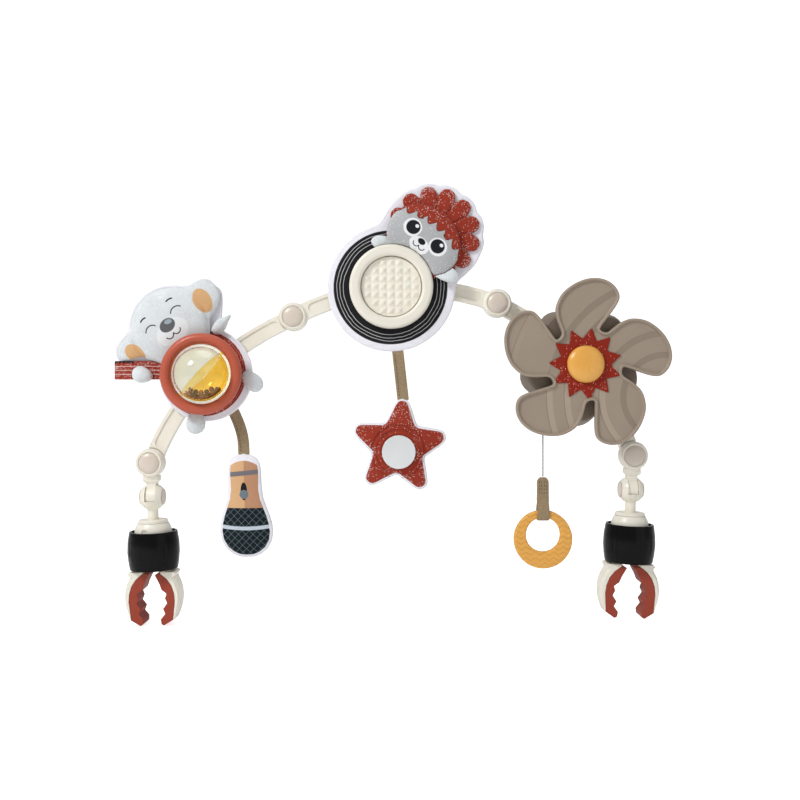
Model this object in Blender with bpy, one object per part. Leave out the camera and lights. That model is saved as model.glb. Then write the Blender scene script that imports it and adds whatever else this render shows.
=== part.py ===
"""Stroller arch toy: two screw clamps carry a folding arch of three curved arms.

Each arm carries a toy at its middle: a rattle ball in a ring on a stuffed bear, a disc
toy with a turning studded pad and a stuffed lion, and a flower that turns when its cord
is pulled. A soft microphone and a soft star hang from ribbons.

The frame has +X to the right, +Y away from the viewer and +Z up. Its origin is the
centre of the left clamp's grip. Lengths are in metres.
"""
import math

import bpy
import bmesh
from mathutils import Matrix, Vector

MM = 0.001

# Clearances
SEAT_GAP = 0.3 * MM
RUN_GAP = 0.4 * MM
SLACK = 0.7 * MM
SWING_GAP = 0.6 * MM
OVERRUN = 1.0 * MM

# Arch
CHORD = 203.0 * MM
ARCH_SAG = 21.5 * MM
LEFT_RISE = math.radians(45.6)
CENTRE_RISE = math.radians(3.8)
RIGHT_RISE = math.radians(-48.2)
LEFT_LEAN = math.radians(1.2)
RIGHT_LEAN = math.radians(-1.9)

# Arms
ARM_WIDTH = 16.5 * MM
ARM_DEPTH = 10.5 * MM
SIDE_ARM_FRONT = -3.0 * MM
ARM_WALL = 1.8 * MM
ARM_RIB = 1.8 * MM
CHANNEL_WIDTH = 9.5 * MM
CHANNEL_DEPTH = 1.3 * MM
CHANNEL_START = 17.0 * MM
POCKET_START = 21.0 * MM
POCKETS = 5
ARM_STEPS = 12

# Half lap hinges
LUG_DEPTH = 8.0 * MM
BOSS_RADIUS = 14.3 * MM
BOSS_FRONT_RADIUS = 12.2 * MM
BOSS_STAND = 4.0 * MM
REAR_LUG_RADIUS = 12.0 * MM
PIVOT_RADIUS = 4.0 * MM
PIVOT_CAP_RADIUS = 10.4 * MM
PIVOT_CAP_RISE = 2.6 * MM
PIVOT_CAP_SINK = 1.0 * MM
PIVOT_CAP_SHARES = ((0.0, 1.0), (0.5, 0.9), (0.85, 0.55), (1.0, 0.0))
PIVOT_HEAD_RADIUS = 7.0 * MM
PIVOT_HEAD_THICK = 1.8 * MM

# Clamp heights, above the grip centre
COLLAR_BOTTOM = 29.0 * MM
COLLAR_HEIGHT = 37.3 * MM
DOME_RISE = 8.2 * MM
DOME_SHOULDERS = ((0.7 * MM, 0.4), (2.1 * MM, 0.78))
COLLAR_TO_BALL = 34.0 * MM
BALL_TO_KNEE = 34.3 * MM

# Collar
COLLAR_RADIUS = 25.5 * MM
COLLAR_END_TAPER = 2.1 * MM
COLLAR_BARREL_SHARES = ((1.0, 0.0), (0.4, 0.2), (0.0, 0.45), (0.2, 0.72), (1.0, 1.0))
COLLAR_WALL = 2.1 * MM
COLLAR_SLEEVE_WALL = 2.0 * MM
COLLAR_WEB = 2.2 * MM
COLLAR_TOP_GROOVE = 6.0 * MM
COLLAR_SKIRT = 6.5 * MM
GRIP_GROOVES = 4
GRIP_GROOVE_RADIUS = 3.4 * MM
GRIP_GROOVE_DEPTH = 1.0 * MM
GRIP_GROOVE_MARGIN = 4.0 * MM
GRIP_GROOVE_TURN = math.radians(40)

# Core
CORE_RADIUS = 18.3 * MM
CORE_WALL = 2.5 * MM
CORE_FOOT = 2.0 * MM
CORE_BLOCK = 14.0 * MM
CORE_CHAMBER = 17.0 * MM
CORE_SLOT_HALF = 6.2 * MM
LUG_SLOT_HALF = 3.2 * MM
DOME_TOP_RADIUS = 15.2 * MM
DOME_ROOF = 4.5 * MM
NOTCH_RADIUS = 3.0 * MM
NOTCH_OFFSET = 4.5 * MM
JAW_PIN_RADIUS = 2.0 * MM
JAW_PIN_SPREAD = 11.0 * MM
JAW_PIN_HEIGHT = 7.0 * MM
JAW_PIN_ROOT = 1.8 * MM

# Plunger
PLUNGER_PLATE = 6.0 * MM
PLUNGER_LIFT = 2.0 * MM
PLUNGER_ROOM = 8.0 * MM
PLUNGER_PER_JAW_TURN = 8.94 * MM
PLUNGER_ROD_RADIUS = 1.8 * MM
PLUNGER_FLANGE_RADIUS = 4.6 * MM
PLUNGER_FLANGE_THICK = 2.2 * MM
PLUNGER_TONGUE_HALF = 2.8 * MM

# Jaws and pads
JAW_HALF_WIDTH = 27.5 * MM
JAW_REACH = 26.2 * MM
JAW_DEPTH = 23.0 * MM
JAW_EDGE = 3.0 * MM
JAW_EDGE_SHARE = 0.42
JAW_SOFT_BELOW = 0.9
JAW_EYE_RADIUS = 5.0 * MM
JAW_TAIL_GAP = 0.5 * MM
JAW_LEVER_END = 3.3 * MM
JAW_LEVER_HALF = 1.7 * MM
JAW_LEVER_RISE = 3.8 * MM
RIGHT_JAWS_OPEN = math.radians(3.0)
PAD_TEETH_SHARES = (
    (0.116, 0.916), (0.276, 0.58), (0.349, 0.355), (0.527, 0.198), (0.469, 0.03), (0.545, -0.153),
    (0.393, -0.366), (0.469, -0.557), (0.309, -0.763), (0.327, -0.939), (0.415, -1.0))
PAD_BACK_SHARES = (
    (0.742, -0.798), (0.778, -0.473), (0.822, -0.084), (0.80, 0.214), (0.713, 0.504), (0.545, 0.76),
    (0.309, 0.962))
SHELL_OUTER_SHARES = (
    (0.33, 1.015), (0.80, 1.015), (0.865, 0.95), (0.80, 0.828), (0.92, 0.553), (0.985, 0.286),
    (1.0, 0.019), (0.967, -0.267), (0.88, -0.557), (0.77, -0.795))
TAIL_SHARES = ((0.37, 1.0), (0.30, 1.15), (0.24, 1.33), (0.56, 1.33), (0.60, 1.18), (0.62, 1.0), (0.53, 0.93))

# Swivel stem, ball joint and knuckle
FLANGE_RADIUS = 14.7 * MM
FLANGE_THICK = 3.0 * MM
FLANGE_ROUND = 0.9 * MM
STEM_RADIUS = 5.4 * MM
POST_RADIUS = 5.9 * MM
POST_HEAD_RADIUS = 9.0 * MM
POST_HEAD_THICK = 2.6 * MM
BALL_RADIUS = 13.5 * MM
BALL_HALF_WIDTH = 10.5 * MM
TONGUE_HALF = 4.85 * MM
TONGUE_RADIUS = 10.4 * MM
CROTCH_DROP = 4.0 * MM
TILT_PIN_RADIUS = 3.0 * MM
TILT_CAP_RADIUS = 8.2 * MM
TILT_CAP_RISE = 1.7 * MM
TILT_CAP_SHARES = ((0.0, 1.0), (0.55, 0.92), (0.9, 0.55), (1.0, 0.0))
NECK_HALF_DEPTH = 5.5 * MM
NECK_HALF_WIDTH = 7.5 * MM
NECK_TOP_CLEAR = 0.5 * MM
NECK_SHOULDER = 2.5 * MM

# Places of the toys on their arms: along the arm from its middle, and outwards
RATTLE_SEAT = (0.0 * MM, 0.0 * MM)
DISC_SEAT = (-2.4 * MM, 0.0 * MM)
FLOWER_SEAT = (-1.0 * MM, -1.5 * MM)

# Clips that hold the toys on the arms
CLIP_PLATE = 3.0 * MM
CLIP_LENGTH = 18.0 * MM
CLIP_WALL = 2.0 * MM
CLIP_LIP = 2.6 * MM
CLIP_LIP_THICK = 1.8 * MM

# Felt backings
FELT_THICK = 4.0 * MM
FELT_BORDER = 4.5 * MM

# Rattle toy
RATTLE_BALL_RADIUS = 27.0 * MM
RATTLE_BALL_WALL = 1.6 * MM
RATTLE_BALL_LIFT = 1.0 * MM
RATTLE_BALL_ROOM = 2.3 * MM
RATTLE_SKIRT_INNER = RATTLE_BALL_RADIUS + RATTLE_BALL_ROOM
RATTLE_SKIRT_WALL = 2.2 * MM
RATTLE_SKIRT_OUTER = RATTLE_SKIRT_INNER + RATTLE_SKIRT_WALL
RATTLE_TUBE_RADIUS = 5.25 * MM
RATTLE_TUBE_OVERHANG = 4.95 * MM
RATTLE_RING_RADIUS = RATTLE_SKIRT_INNER + RATTLE_TUBE_OVERHANG
RATTLE_STAND = RATTLE_BALL_RADIUS + RATTLE_BALL_LIFT
RATTLE_AXIS_TURN = math.radians(45)
RATTLE_SPLIT_TURN = math.radians(19)
RATTLE_STUB_RADIUS = 1.9 * MM
RATTLE_STUB_LENGTH = 2.6 * MM
RATTLE_STUB_ROOT_SHARE = 0.8
RATTLE_CLIP_HOLE = 12.5 * MM
BEAD_RADIUS = 3.1 * MM
BEAD_COUNT = 6
BEAD_PITCH_SHARE = 1.8
BEAD_TURN = 0.3
RATTLE_FELT_RADIUS = 46.5 * MM

# Stuffed bear on the rattle toy. The head is placed from the rattle's centre. A limb is
# distance beyond the ring's skirt, direction of that, length, width, turn.
BEAR_HEAD_RADIUS = 39.0 * MM
BEAR_HEAD_RIGHT = -33.6 * MM
BEAR_HEAD_UP = 46.2 * MM
BEAR_HEAD_THICK = 12.0 * MM
BEAR_LEAN = math.radians(38)
BEAR_EAR_RADIUS = 12.0 * MM
BEAR_EAR_OUT = 47.5 * MM
BEAR_EAR_LIFT = math.radians(8)
LIMB_THICK = 9.0 * MM
PAW_SWELL = 0.18
BEAR_LEFT_PAW = (29.5 * MM, math.radians(-179.5), 21.0 * MM, 16.0 * MM, math.radians(165))
BEAR_RIGHT_PAW = (21.0 * MM, math.radians(72.3), 21.0 * MM, 10.5 * MM, math.radians(52))
BEAR_LEFT_FOOT = (16.35 * MM, math.radians(-100.8), 24.0 * MM, 19.0 * MM, math.radians(264))
BEAR_RIGHT_FOOT = (15.45 * MM, math.radians(-8.0), 25.0 * MM, 17.0 * MM, math.radians(-45))
TAB_LENGTH = 47.0 * MM
TAB_WIDTH = 18.3 * MM
TAB_THICK = 3.0 * MM
TAB_REACH = 89.5 * MM
TAB_DROP = 4.2 * MM

# Disc toy
DISC_FELT_RADIUS = 63.0 * MM
DISC_RING_RADIUS = 40.9 * MM
DISC_RING_INNER = 30.0 * MM
DISC_RING_DEPTH = 12.0 * MM
DISC_RING_FLOOR = 1.8 * MM
DISC_RING_ROUND = 3.2 * MM
DISC_RING_OUTER_SHARE = 0.35
DISC_RING_INNER_SHARE = 0.3
PAD_RADIUS = 29.3 * MM
PAD_THICK = 4.0 * MM
PAD_LIFT = 0.8 * MM
STUD_PITCH = 7.8 * MM
STUD_BASE_SHARE = 0.94
STUD_RISE = 2.2 * MM
STUD_SINK = 0.3 * MM
STUD_FIELD = 25.5 * MM
SPINDLE_RADIUS = 4.0 * MM
SPINDLE_BOSS_WALL = 3.6 * MM

# Stuffed lion on the disc toy: places from the disc's centre
LION_LEAN = math.radians(-38.7)
LION_MANE_RIGHT = 41.2 * MM
LION_MANE_UP = 52.2 * MM
LION_MANE_RADIUS = 43.8 * MM
LION_MANE_SCALLOP = 3.0 * MM
LION_MANE_SCALLOPS = 13
LION_MANE_THICK = 6.0 * MM
LION_MANE_EDGE = 2.5 * MM
LION_HEAD_RIGHT = 31.7 * MM
LION_HEAD_UP = 45.4 * MM
LION_HEAD_WIDTH = 77.0 * MM
LION_HEAD_HEIGHT = 64.0 * MM
LION_HEAD_THICK = 9.0 * MM
LION_PAW_THICK = 5.8 * MM
LION_LEFT_PAW = (-6.5 * MM, 43.5 * MM, 27.0 * MM, 13.5 * MM, math.radians(172))
LION_RIGHT_PAW = (51.0 * MM, 13.5 * MM, 32.0 * MM, 15.0 * MM, math.radians(-22))

# Flower toy
PETAL_REACH = 83.6 * MM
PETALS = 5
PETAL_STAND = 27.2 * MM
PETAL_THICK = 3.5 * MM
PETAL_RIM_WIDTH = 2.6 * MM
PETAL_RIM_RISE = 2.5 * MM
PETAL_RIM_SLOPE = 0.8 * MM
PETAL_FIRST_TURN = math.radians(134)
PETAL_OUTLINE_SHARES = (
    (0.411, 0.10), (0.438, -0.085), (0.531, -0.133), (0.625, -0.168), (0.724, -0.22), (0.807, -0.30),
    (0.874, -0.383), (0.933, -0.493), (0.977, -0.60), (1.0, -0.697), (1.0, -0.795), (0.97, -0.88),
    (0.919, -0.947), (0.857, -0.99), (0.774, -0.997), (0.692, -0.987), (0.606, -0.967), (0.53, -0.944),
    (0.466, -0.921), (0.427, -0.935))
HUB_RADIUS = 9.0 * MM
HOUSING_REACH = 60.5 * MM
HOUSING_WAIST = 47.5 * MM
HOUSING_TAPER = 5.0 * MM
HOUSING_FRONT_WAIST_TAPER = 2.0 * MM
HOUSING_DEPTH = 18.5 * MM
HOUSING_WALL = 2.2 * MM
HOUSING_FLOOR = 2.6 * MM
HOUSING_TURN = math.radians(51)
HOUSING_SIDES = 80
AXLE_RADIUS = 5.0 * MM
DRUM_RADIUS = 36.4 * MM
DRUM_FLANGE = 2.3 * MM
DRUM_FLANGE_THICK = 1.6 * MM
DRUM_DEPTH = 10.0 * MM
DRUM_WALL = 2.0 * MM
BADGE_POINTS = 11
BADGE_RADIUS = 35.5 * MM
BADGE_WAIST = 24.6 * MM
BADGE_FIRST_TURN = math.radians(80)
BADGE_THICK = 1.5 * MM
BADGE_SEAT = 0.5 * MM
BUTTON_RADIUS = 18.0 * MM
BUTTON_RISE = 7.5 * MM

# Pull cord, its tab and the teether
CORD_DIAMETER = 1.6 * MM
CORD_HIDDEN_RISE = 20.0 * MM
CORD_DROP = 110.0 * MM
CORD_POINTS = 12
CORD_EXIT_SHARE = 0.62
EYELET_RADIUS = 3.4 * MM
EYELET_LENGTH = 15.0 * MM
STRAP_WIDTH = 11.8 * MM
STRAP_LENGTH = 43.0 * MM
STRAP_THICK = 1.8 * MM
STRAP_LOOP_HEIGHT = 13.5 * MM
STRAP_NECK_SHARE = 1.6
STRAP_SHOULDER_SHARE = 0.8
STRAP_ROOM_SHARE = 0.75
TEETHER_RADIUS = 28.8 * MM
TEETHER_HOLE_RADIUS = 16.8 * MM
TEETHER_HOLE_UP = 4.6 * MM
TEETHER_THICK = 8.0 * MM
TEETHER_ROUND = 1.6 * MM
TEETHER_SEAT = 1.5 * MM

# Hanging toys
RIBBON_WIDTH = 11.6 * MM
RIBBON_THICK = 1.2 * MM
MIC_RIBBON_TOP = (28.5 * MM, -39.2 * MM)
MIC_RIBBON_DROP = 38.3 * MM
MIC_RIBBON_SIDE = 9.0 * MM
MIC_RIBBON_BOW = 2.5 * MM
MIC_LENGTH = 103.0 * MM
MIC_HALF_WIDTH = 26.6 * MM
MIC_SIDE = 3.8 * MM
MIC_THICK = 15.0 * MM
MIC_OUTLINE_SHARES = (
    (0.0, 0.0), (0.29, 0.01), (0.49, 0.04), (0.59, 0.085), (0.615, 0.16), (0.615, 0.3), (0.66, 0.415),
    (0.77, 0.505), (0.89, 0.59), (0.97, 0.67), (1.0, 0.755), (0.94, 0.84), (0.77, 0.915), (0.51, 0.97),
    (0.26, 0.995), (0.0, 1.0))
MIC_CENTRE_SHARE = 0.68
STAR_RIBBON_TOP = (6.4 * MM, -63.6 * MM)
STAR_RIBBON_DROP = 45.0 * MM
STAR_RIBBON_SIDE = 5.0 * MM
STAR_RADIUS = 51.0 * MM
STAR_WAIST = 27.0 * MM
STAR_TURN = math.radians(-5)
STAR_THICK = 15.0 * MM
STAR_TIP_SHARE = 0.93
STAR_TIP_TURN = 0.09
STAR_NOTCH_TURN = 0.12
STAR_NOTCH_SWELL = 1.12
MIRROR_RADIUS = 16.5 * MM
MIRROR_DROP = 5.0 * MM
MIRROR_THICK = 1.6 * MM
RIBBON_STEPS = 6

# Facets
ROUND_SIDES = 24
SMALL_SIDES = 14
FINE_SIDES = 32
HEAD_SIDES = 40
FELT_SIDES = 60

COLOURS = {
    "cream": ((0.84, 0.80, 0.70), 0.45, 0.0),
    "taupe": ((0.66, 0.58, 0.50), 0.4, 0.0),
    "black": ((0.01, 0.01, 0.012), 0.18, 0.0),
    "pad": ((0.38, 0.07, 0.04), 0.6, 0.0),
    "ring": ((0.52, 0.11, 0.06), 0.4, 0.0),
    "felt": ((0.86, 0.86, 0.9), 0.9, 0.0),
    "grey": ((0.6, 0.63, 0.65), 0.7, 0.0),
    "mane": ((0.36, 0.05, 0.03), 0.8, 0.0),
    "clear": ((0.9, 0.93, 0.95), 0.05, 0.0),
    "amber": ((0.9, 0.5, 0.08), 0.08, 0.0),
    "bead": ((0.25, 0.06, 0.03), 0.3, 0.0),
    "petal": ((0.38, 0.31, 0.24), 0.5, 0.0),
    "housing": ((0.2, 0.16, 0.13), 0.5, 0.0),
    "badge": ((0.33, 0.02, 0.01), 0.4, 0.0),
    "yellow": ((0.85, 0.48, 0.1), 0.35, 0.0),
    "ribbon": ((0.38, 0.27, 0.14), 0.9, 0.0),
    "cord": ((0.5, 0.5, 0.4), 0.8, 0.0),
    "mic": ((0.6, 0.38, 0.2), 0.8, 0.0),
    "mirror": ((0.9, 0.9, 0.92), 0.05, 1.0),
}


# Scene helpers

def clear_scene():
    for item in list(bpy.data.objects):
        bpy.data.objects.remove(item, do_unlink=True)


def material(name):
    made = bpy.data.materials.get(name)
    if made is None:
        colour, roughness, metallic = COLOURS[name]
        made = bpy.data.materials.new(name)
        made.use_nodes = True
        shader = made.node_tree.nodes["Principled BSDF"]
        shader.inputs["Base Color"].default_value = (*colour, 1.0)
        shader.inputs["Roughness"].default_value = roughness
        shader.inputs["Metallic"].default_value = metallic
    return made


def mesh_object(name, points, faces):
    """A mesh object whose faces all point outwards."""
    mesh = bpy.data.meshes.new(name)
    mesh.from_pydata([tuple(point) for point in points], [], faces)
    shape = bmesh.new()
    shape.from_mesh(mesh)
    bmesh.ops.recalc_face_normals(shape, faces=shape.faces)
    shape.to_mesh(mesh)
    shape.free()
    made = bpy.data.objects.new(name, mesh)
    bpy.context.scene.collection.objects.link(made)
    return made


def moved(item, matrix):
    item.data.transform(matrix)
    return item


def combined(target, operation, *tools):
    """The target after each tool solid is joined to it or cut from it."""
    for tool in tools:
        modifier = target.modifiers.new(operation.lower(), "BOOLEAN")
        modifier.operation = operation
        modifier.solver = "EXACT"
        modifier.object = tool
        bpy.context.view_layer.update()
        graph = bpy.context.evaluated_depsgraph_get()
        result = bpy.data.meshes.new_from_object(target.evaluated_get(graph))
        target.modifiers.clear()
        target.data = result
        bpy.data.objects.remove(tool, do_unlink=True)
    return target


def joined(target, *tools):
    return combined(target, "UNION", *tools)


def cut(target, *tools):
    return combined(target, "DIFFERENCE", *tools)


def body(name, anchor, parent=None):
    """The empty that a moving group of pieces hangs on, at its joint's axis."""
    pivot = bpy.data.objects.new(name + "_body", None)
    bpy.context.scene.collection.objects.link(pivot)
    pivot.location = anchor
    bpy.context.view_layer.update()
    if parent is not None:
        pivot.parent = parent
        pivot.matrix_parent_inverse = parent.matrix_world.inverted()
    bpy.context.view_layer.update()
    return pivot


def fitted(item, name, colour, pivot):
    """Names a finished solid, gives it its material and hangs it on its body."""
    item.name = name
    item.data.name = name
    item.data.materials.clear()
    item.data.materials.append(material(colour))
    item.data.transform(Matrix.Translation(-pivot.matrix_world.translation))
    item.parent = pivot
    item.data.shade_smooth()
    item.data.set_sharp_from_angle(angle=math.radians(35))
    return item


# Shape helpers

X_WAY, Y_WAY, Z_WAY = Vector((1, 0, 0)), Vector((0, 1, 0)), Vector((0, 0, 1))
UPRIGHT = (X_WAY, Y_WAY, Z_WAY)
ALONG_Y = (X_WAY, Z_WAY, Y_WAY)
ALONG_X = (Y_WAY, Z_WAY, X_WAY)


def turned(profile, sides=ROUND_SIDES, closed=True, axes=UPRIGHT, at=(0, 0, 0)):
    """A solid turned from (radius, distance along the axis) pairs.

    The profile is closed on itself, or else runs from the axis to the axis; a flat end
    is then one face and a domed end is a fan.
    """
    across, up, along = axes
    at = Vector(at)
    profile = list(profile)
    flat_ends = []
    if not closed:
        if profile[0][1] == profile[1][1]:
            profile.pop(0)
            flat_ends.append(0)
        if profile[-1][1] == profile[-2][1]:
            profile.pop()
            flat_ends.append(-1)
    points = []
    rows = []
    for radius, height in profile:
        count = 1 if radius == 0 else sides
        rows.append([len(points) + side % count for side in range(sides)])
        for side in range(count):
            angle = math.tau * side / sides
            points.append(at + (across * math.cos(angle) + up * math.sin(angle)) * radius + along * height)
    faces = [rows[end] for end in flat_ends]
    for index in range(len(rows) if closed else len(rows) - 1):
        low, high = rows[index], rows[(index + 1) % len(rows)]
        for side in range(sides):
            after = (side + 1) % sides
            face = list(dict.fromkeys([low[side], low[after], high[after], high[side]]))
            faces.append(face)
    return mesh_object("turned", points, faces)


def rod(radius, start, end, sides=SMALL_SIDES):
    """A plain cylinder between two points."""
    start, end = Vector(start), Vector(end)
    along = (end - start).normalized()
    aside = Y_WAY if abs(along.z) > 0.5 else Z_WAY
    across = aside.cross(along).normalized()
    axes = (across, along.cross(across), along)
    length = (end - start).length
    return turned([(0, 0), (radius, 0), (radius, length), (0, length)], sides, False, axes, start)


def block(low, high):
    """A box between two corners."""
    points = [Vector((x, y, z)) for x in (low[0], high[0]) for y in (low[1], high[1])
              for z in (low[2], high[2])]
    faces = [(0, 1, 3, 2), (4, 6, 7, 5), (0, 4, 5, 1), (2, 3, 7, 6), (0, 2, 6, 4), (1, 5, 7, 3)]
    return mesh_object("block", points, faces)


def stacked(rings):
    """A closed solid through rings of equal count, with flat ends."""
    count = len(rings[0])
    points = [point for ring in rings for point in ring]
    faces = [tuple(range(count)), tuple(range(len(points) - count, len(points)))]
    for level in range(len(rings) - 1):
        for index in range(count):
            after = (index + 1) % count
            base = level * count
            faces.append((base + index, base + after, base + count + after, base + count + index))
    return mesh_object("stacked", points, faces)


def prism(outline, front, back):
    """An outline of (x, z) pairs made solid between two depths along Y."""
    return stacked([[Vector((x, depth, z)) for x, z in outline] for depth in (front, back)])


def dome_rings(outline, centre, flat_y, crown, steps):
    """Rings that shrink to the centre while they rise like a quarter circle."""
    rings = []
    for step in range(steps):
        angle = math.pi / 2 * step / steps
        share, rise = math.cos(angle), math.sin(angle)
        rings.append([Vector((centre[0] + (x - centre[0]) * share, flat_y - crown * rise,
                              centre[1] + (z - centre[1]) * share)) for x, z in outline])
    return rings


def stuffed(outline, centre, back, front_crown, back_crown=0.0, steps=4):
    """A stuffed form: domed at the front, and flat or domed at the back."""
    count = len(outline)
    front = dome_rings(outline, centre, back, front_crown, steps)
    rear = dome_rings(outline, centre, back, -back_crown, steps)[1:] if back_crown else []
    rings = list(reversed(rear)) + front
    points = [point for ring in rings for point in ring]
    faces = []
    for level in range(len(rings) - 1):
        for index in range(count):
            after = (index + 1) % count
            base = level * count
            faces.append((base + index, base + after, base + count + after, base + count + index))
    front_pole = len(points)
    points.append(Vector((centre[0], back - front_crown, centre[1])))
    last = (len(rings) - 1) * count
    faces += [(last + index, last + (index + 1) % count, front_pole) for index in range(count)]
    if back_crown:
        rear_pole = len(points)
        points.append(Vector((centre[0], back + back_crown, centre[1])))
        faces += [((index + 1) % count, index, rear_pole) for index in range(count)]
    else:
        faces.append(tuple(range(count)))
    return mesh_object("stuffed", points, faces)


def circle_outline(centre, radius, sides=ROUND_SIDES):
    return [(centre[0] + radius * math.cos(math.tau * side / sides),
             centre[1] + radius * math.sin(math.tau * side / sides)) for side in range(sides)]


def paw_outline(centre, length, width, turn, sides=16):
    """An egg shape, wider at its far end, turned from the X axis."""
    points = []
    for side in range(sides):
        angle = math.tau * side / sides
        swell = 1 + PAW_SWELL * math.cos(angle)
        along = length / 2 * math.cos(angle)
        across = width / 2 * math.sin(angle) * swell
        points.append((centre[0] + along * math.cos(turn) - across * math.sin(turn),
                       centre[1] + along * math.sin(turn) + across * math.cos(turn)))
    return points


def oval_outline(centre, width, height, turn, sides=32):
    points = []
    for side in range(sides):
        angle = math.tau * side / sides
        along, across = width / 2 * math.cos(angle), height / 2 * math.sin(angle)
        points.append((centre[0] + along * math.cos(turn) - across * math.sin(turn),
                       centre[1] + along * math.sin(turn) + across * math.cos(turn)))
    return points


def scalloped(centre, radius, swing, scallops, steps=4):
    """A round outline with a row of outward scallops."""
    points = []
    for side in range(steps * scallops):
        angle = math.tau * side / (steps * scallops)
        reach = radius + swing * (2 * abs(math.sin(angle * scallops / 2)) - 1)
        points.append((centre[0] + reach * math.cos(angle), centre[1] + reach * math.sin(angle)))
    return points


def star_outline(centre, reach, waist, tips, turn):
    """A star with its first tip at the given angle from the X axis."""
    points = []
    for index in range(2 * tips):
        angle = turn + math.pi * index / tips
        radius = waist if index % 2 else reach
        points.append((centre[0] + radius * math.cos(angle), centre[1] + radius * math.sin(angle)))
    return points


def offset_outline(points, distance, closed=True):
    """The outline moved square to itself; a positive distance moves it to its right."""
    moved_points = []
    count = len(points)
    for index, point in enumerate(points):
        before = points[index - 1] if closed or index else point
        after = points[(index + 1) % count] if closed or index + 1 < count else point
        along = Vector((after[0] - before[0], after[1] - before[1])).normalized()
        moved_points.append((point[0] + along.y * distance, point[1] - along.x * distance))
    return moved_points


def scaled_pairs(shares, width, height, centre=(0.0, 0.0)):
    return [(centre[0] + width * across, centre[1] + height * up) for across, up in shares]


# Arms

class ArmLine:
    """The curved line of one arm from its start hinge to its end hinge."""

    def __init__(self, start, rise):
        self.start = Vector(start)
        self.rise = rise
        along = Vector((math.cos(rise), 0, math.sin(rise)))
        self.end = self.start + along * CHORD
        self.radius = ((CHORD / 2) ** 2 + ARCH_SAG ** 2) / (2 * ARCH_SAG)
        self.half_turn = math.asin(CHORD / 2 / self.radius)
        outward = Vector((-math.sin(rise), 0, math.cos(rise)))
        middle = (self.start + self.end) / 2
        self.centre = middle - outward * (self.radius - ARCH_SAG)
        self.middle = middle + outward * ARCH_SAG

    def angle(self, share):
        return self.rise + math.pi / 2 + self.half_turn * (1 - 2 * share)

    def share(self, distance):
        """The share of the arm's length that lies this far from its start."""
        return distance / (2 * self.half_turn * self.radius)

    def point(self, share, offset=0.0):
        angle = self.angle(share)
        reach = self.radius + offset
        return (self.centre.x + reach * math.cos(angle), self.centre.z + reach * math.sin(angle))

    def band(self, half_width, first, last, steps=ARM_STEPS):
        """The outline of a strip along the arm between two shares of its length."""
        shares = [first + (last - first) * step / steps for step in range(steps + 1)]
        upper = [self.point(share, half_width) for share in shares]
        lower = [self.point(share, -half_width) for share in reversed(shares)]
        return upper + lower

    def slot(self, half_width, first, last, steps=ARM_STEPS, end_steps=6):
        """The same strip with half round ends past its two shares."""
        upper = [self.point(first + (last - first) * step / steps, half_width) for step in range(steps + 1)]
        lower = [self.point(last + (first - last) * step / steps, -half_width) for step in range(steps + 1)]
        outline = list(upper)
        for share, way, other in ((last, -1, lower), (first, -1, [])):
            middle = self.point(share)
            begin = self.angle(share) if share == last else self.angle(share) + math.pi
            for step in range(1, end_steps):
                angle = begin + way * math.pi * step / end_steps
                outline.append((middle[0] + half_width * math.cos(angle),
                                middle[1] + half_width * math.sin(angle)))
            outline += other
        return outline


class Seat:
    """A place on an arm: where a toy's hooks grip it, and the toy's centre beside that."""

    def __init__(self, line, place):
        along, outward = place
        share = 0.5 + line.share(along)
        self.turn = line.angle(share) - math.pi / 2
        x, z = line.point(share)
        self.hook = Vector((x, 0, z))
        x, z = line.point(share, outward)
        self.at = Vector((x, 0, z))


def hinge_boss(at, front_face):
    """The round front half of a hinge: a drum that narrows to its front ring."""
    profile = [(0, -SEAT_GAP / 2), (BOSS_RADIUS, -SEAT_GAP / 2), (BOSS_RADIUS, SLACK - LUG_DEPTH),
               (BOSS_RADIUS - SLACK, -SLACK - LUG_DEPTH), (BOSS_FRONT_RADIUS, front_face), (0, front_face)]
    return turned(profile, ROUND_SIDES, False, ALONG_Y, at)


def hinge_front(at):
    """Cutters for the recess and the bore in the front half of a hinge."""
    front = -LUG_DEPTH - BOSS_STAND
    recess = rod(PIVOT_CAP_RADIUS + RUN_GAP, at + Vector((0, front - OVERRUN, 0)),
                 at + Vector((0, front + PIVOT_CAP_SINK, 0)), ROUND_SIDES)
    bore = rod(PIVOT_RADIUS + RUN_GAP, at + Vector((0, front - OVERRUN, 0)),
               at + Vector((0, LUG_DEPTH + OVERRUN, 0)))
    return recess, bore


def pivot_button(at):
    """A domed cap on a shaft that runs through both halves of a hinge to its rear head."""
    floor = -LUG_DEPTH - BOSS_STAND + PIVOT_CAP_SINK - SEAT_GAP
    rear = LUG_DEPTH + SEAT_GAP
    profile = [(PIVOT_CAP_RADIUS * out, floor - PIVOT_CAP_RISE * rise) for out, rise in PIVOT_CAP_SHARES]
    profile += [(PIVOT_RADIUS, floor), (PIVOT_RADIUS, rear), (PIVOT_HEAD_RADIUS, rear),
                (PIVOT_HEAD_RADIUS, rear + PIVOT_HEAD_THICK), (0, rear + PIVOT_HEAD_THICK)]
    return turned(profile, 18, False, ALONG_Y, at)


def arm_pockets(line, floor, back):
    """Cutters for the ribbed hollow at the back of an arm."""
    first = line.share(POCKET_START)
    last = 1 - first
    rib = line.share(ARM_RIB)
    pitch = (last - first + rib) / POCKETS
    cutters = []
    for index in range(POCKETS):
        begin = first + pitch * index
        outline = line.band(ARM_WIDTH / 2 - ARM_WALL, begin, begin + pitch - rib, 3)
        cutters.append(prism(outline, floor, back + OVERRUN))
    return cutters


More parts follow.
